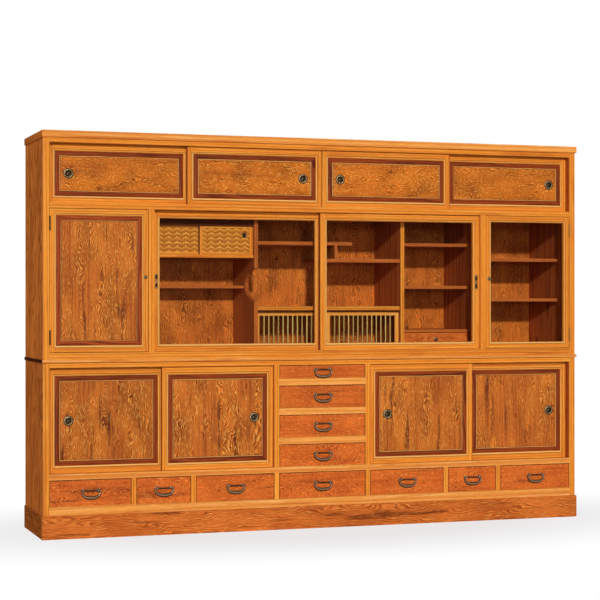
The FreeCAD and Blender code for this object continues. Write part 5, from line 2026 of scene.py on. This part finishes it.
@dataclass
class Studio:
    """Floor, lamps, world and camera."""

    camera_place: Place = (-2.5929, -7.53085, 1.02559)
    yaw: float = 18.746
    lens: float = 102.72
    sensor: float = 36.0
    shift_y: float = 0.0022
    key: Lamp = Lamp("key", 13.3, 17.3, 2.2, 2.5)
    fill: Lamp = Lamp("fill", 9.0, 3.0, 0.27, 6.0)
    sky: float = 0.25
    sky_colour: Colour = (0.86, 0.94, 1.25, 1.0)
    white: Colour = (1.0, 1.0, 1.0, 1.0)
    floor_colour: Colour = (0.72, 0.715, 0.705, 1.0)
    floor_half: float = 60.0

    def build(self) -> None:
        """Set the stage, the light and the camera."""
        scene = bpy.context.scene
        scene.view_settings.view_transform = "Standard"
        self.floor()
        self.world()
        self.key.build()
        self.fill.build()
        data = bpy.data.cameras.new("camera")
        data.lens = self.lens
        data.sensor_width = self.sensor
        data.shift_y = self.shift_y
        camera = bpy.data.objects.new("camera", data)
        camera.location = self.camera_place
        camera.rotation_euler = (math.pi / 2, 0.0, -math.radians(self.yaw))
        scene.collection.objects.link(camera)
        scene.camera = camera

    def seen(self, sheet: NodeSheet) -> bpy.types.NodeSocket:
        """Tell apart the rays from the camera, off a gloss or through glass.

        Args:
            sheet: Nodes of the world or the floor.

        Returns:
            One for those rays and nought for the others.
        """
        path = sheet.add("ShaderNodeLightPath").outputs
        mirror = sheet.calc("MAXIMUM", path["Is Glossy Ray"], path["Is Transmission Ray"])
        return sheet.calc("MAXIMUM", path["Is Camera Ray"], mirror)

    def world(self) -> None:
        """A plain sky: soft cool light on the object, full white where it is seen."""
        world = bpy.data.worlds.new("studio")
        world.use_nodes = True
        world.node_tree.nodes.clear()
        sheet = NodeSheet(world.node_tree)
        strength = sheet.add("ShaderNodeMix", {0: self.seen(sheet), 2: self.sky, 3: 1.0}).outputs[0]
        tint = sheet.mix(self.seen(sheet), self.sky_colour, self.white)
        sky = sheet.add("ShaderNodeBackground", {"Color": tint, "Strength": strength})
        sheet.add("ShaderNodeOutputWorld", {"Surface": sky.outputs[0]})
        bpy.context.scene.world = world

    def floor(self) -> None:
        """A pale floor that keeps the shadow near the object and goes to white further out."""
        mesh = bpy.data.meshes.new("floor")
        span = (-self.floor_half, self.floor_half)
        corners = [(x, y, 0.0) for x, y in rectangle(span, span)]
        mesh.from_pydata(corners, [], [(0, 1, 2, 3)])
        floor = bpy.data.objects.new("floor", mesh)
        bpy.context.scene.collection.objects.link(floor)
        pale = bpy.data.materials.new("pale_floor")
        pale.use_nodes = True
        pale.node_tree.nodes.clear()
        sheet = NodeSheet(pale.node_tree)
        place = sheet.scaled(sheet.add("ShaderNodeTexCoord").outputs["Object"], (0.55, 1.0, 0.0))
        far = sheet.add("ShaderNodeVectorMath", {0: place}, operation="LENGTH").outputs["Value"]
        reach = sheet.step(far, 0.45, 1.3, (0.7, 1.0))
        matt = sheet.add("ShaderNodeBsdfDiffuse", {"Color": self.floor_colour}).outputs[0]
        white = sheet.add("ShaderNodeEmission", {"Color": self.white, "Strength": 1.0}).outputs[0]
        factor = sheet.calc("MULTIPLY", reach, self.seen(sheet))
        shader = sheet.add("ShaderNodeMixShader", {0: factor, 1: matt, 2: white}).outputs[0]
        sheet.add("ShaderNodeOutputMaterial", {"Surface": shader})
        mesh.materials.append(pale)


def main() -> None:
    """Build the cabinet's sub-assemblies in order, then the studio."""
    logging.basicConfig(level=logging.INFO, format="%(name)s: %(message)s")
    Carcass().build()
    DisplayInterior().build()
    for number in range(1, 5):
        TopDoor(number=number).build()
        LowerDoor(number=number).build()
    for side in (-1, 1):
        GlassDoor(side=side).build()
    hinged = [HingedDoor(side=-1), HingedDoor(side=1, drop=PANE_DROP)]
    for door in hinged:
        door.build()
    fixed = [surface for door in hinged for surface in door.hinge_halves(False)]
    Piece("hinge_halves", "cabinet", Slot.BRONZE, fixed, ("hinges",)).build()
    SmallDoors().build()
    for number, (floor, height) in enumerate(Plan.stack, start=1):
        Drawer(f"centre_drawer_{number}", (-Plan.stack_half, Plan.stack_half), floor, height).build()
    dividers = np.array(Plan.dividers)
    centres = np.concatenate([-dividers[::-1], dividers])
    lows = np.concatenate([[-Plan.inner_half], centres + Plan.divider_half])
    highs = np.concatenate([centres - Plan.divider_half, [Plan.inner_half]])
    floor, head = Plan.drawer_band
    for number, span in enumerate(zip(lows, highs), start=1):
        Drawer(f"base_drawer_{number}", span, floor, head - floor).build()
    Studio().build()


if __name__ == "__main__":
    main()
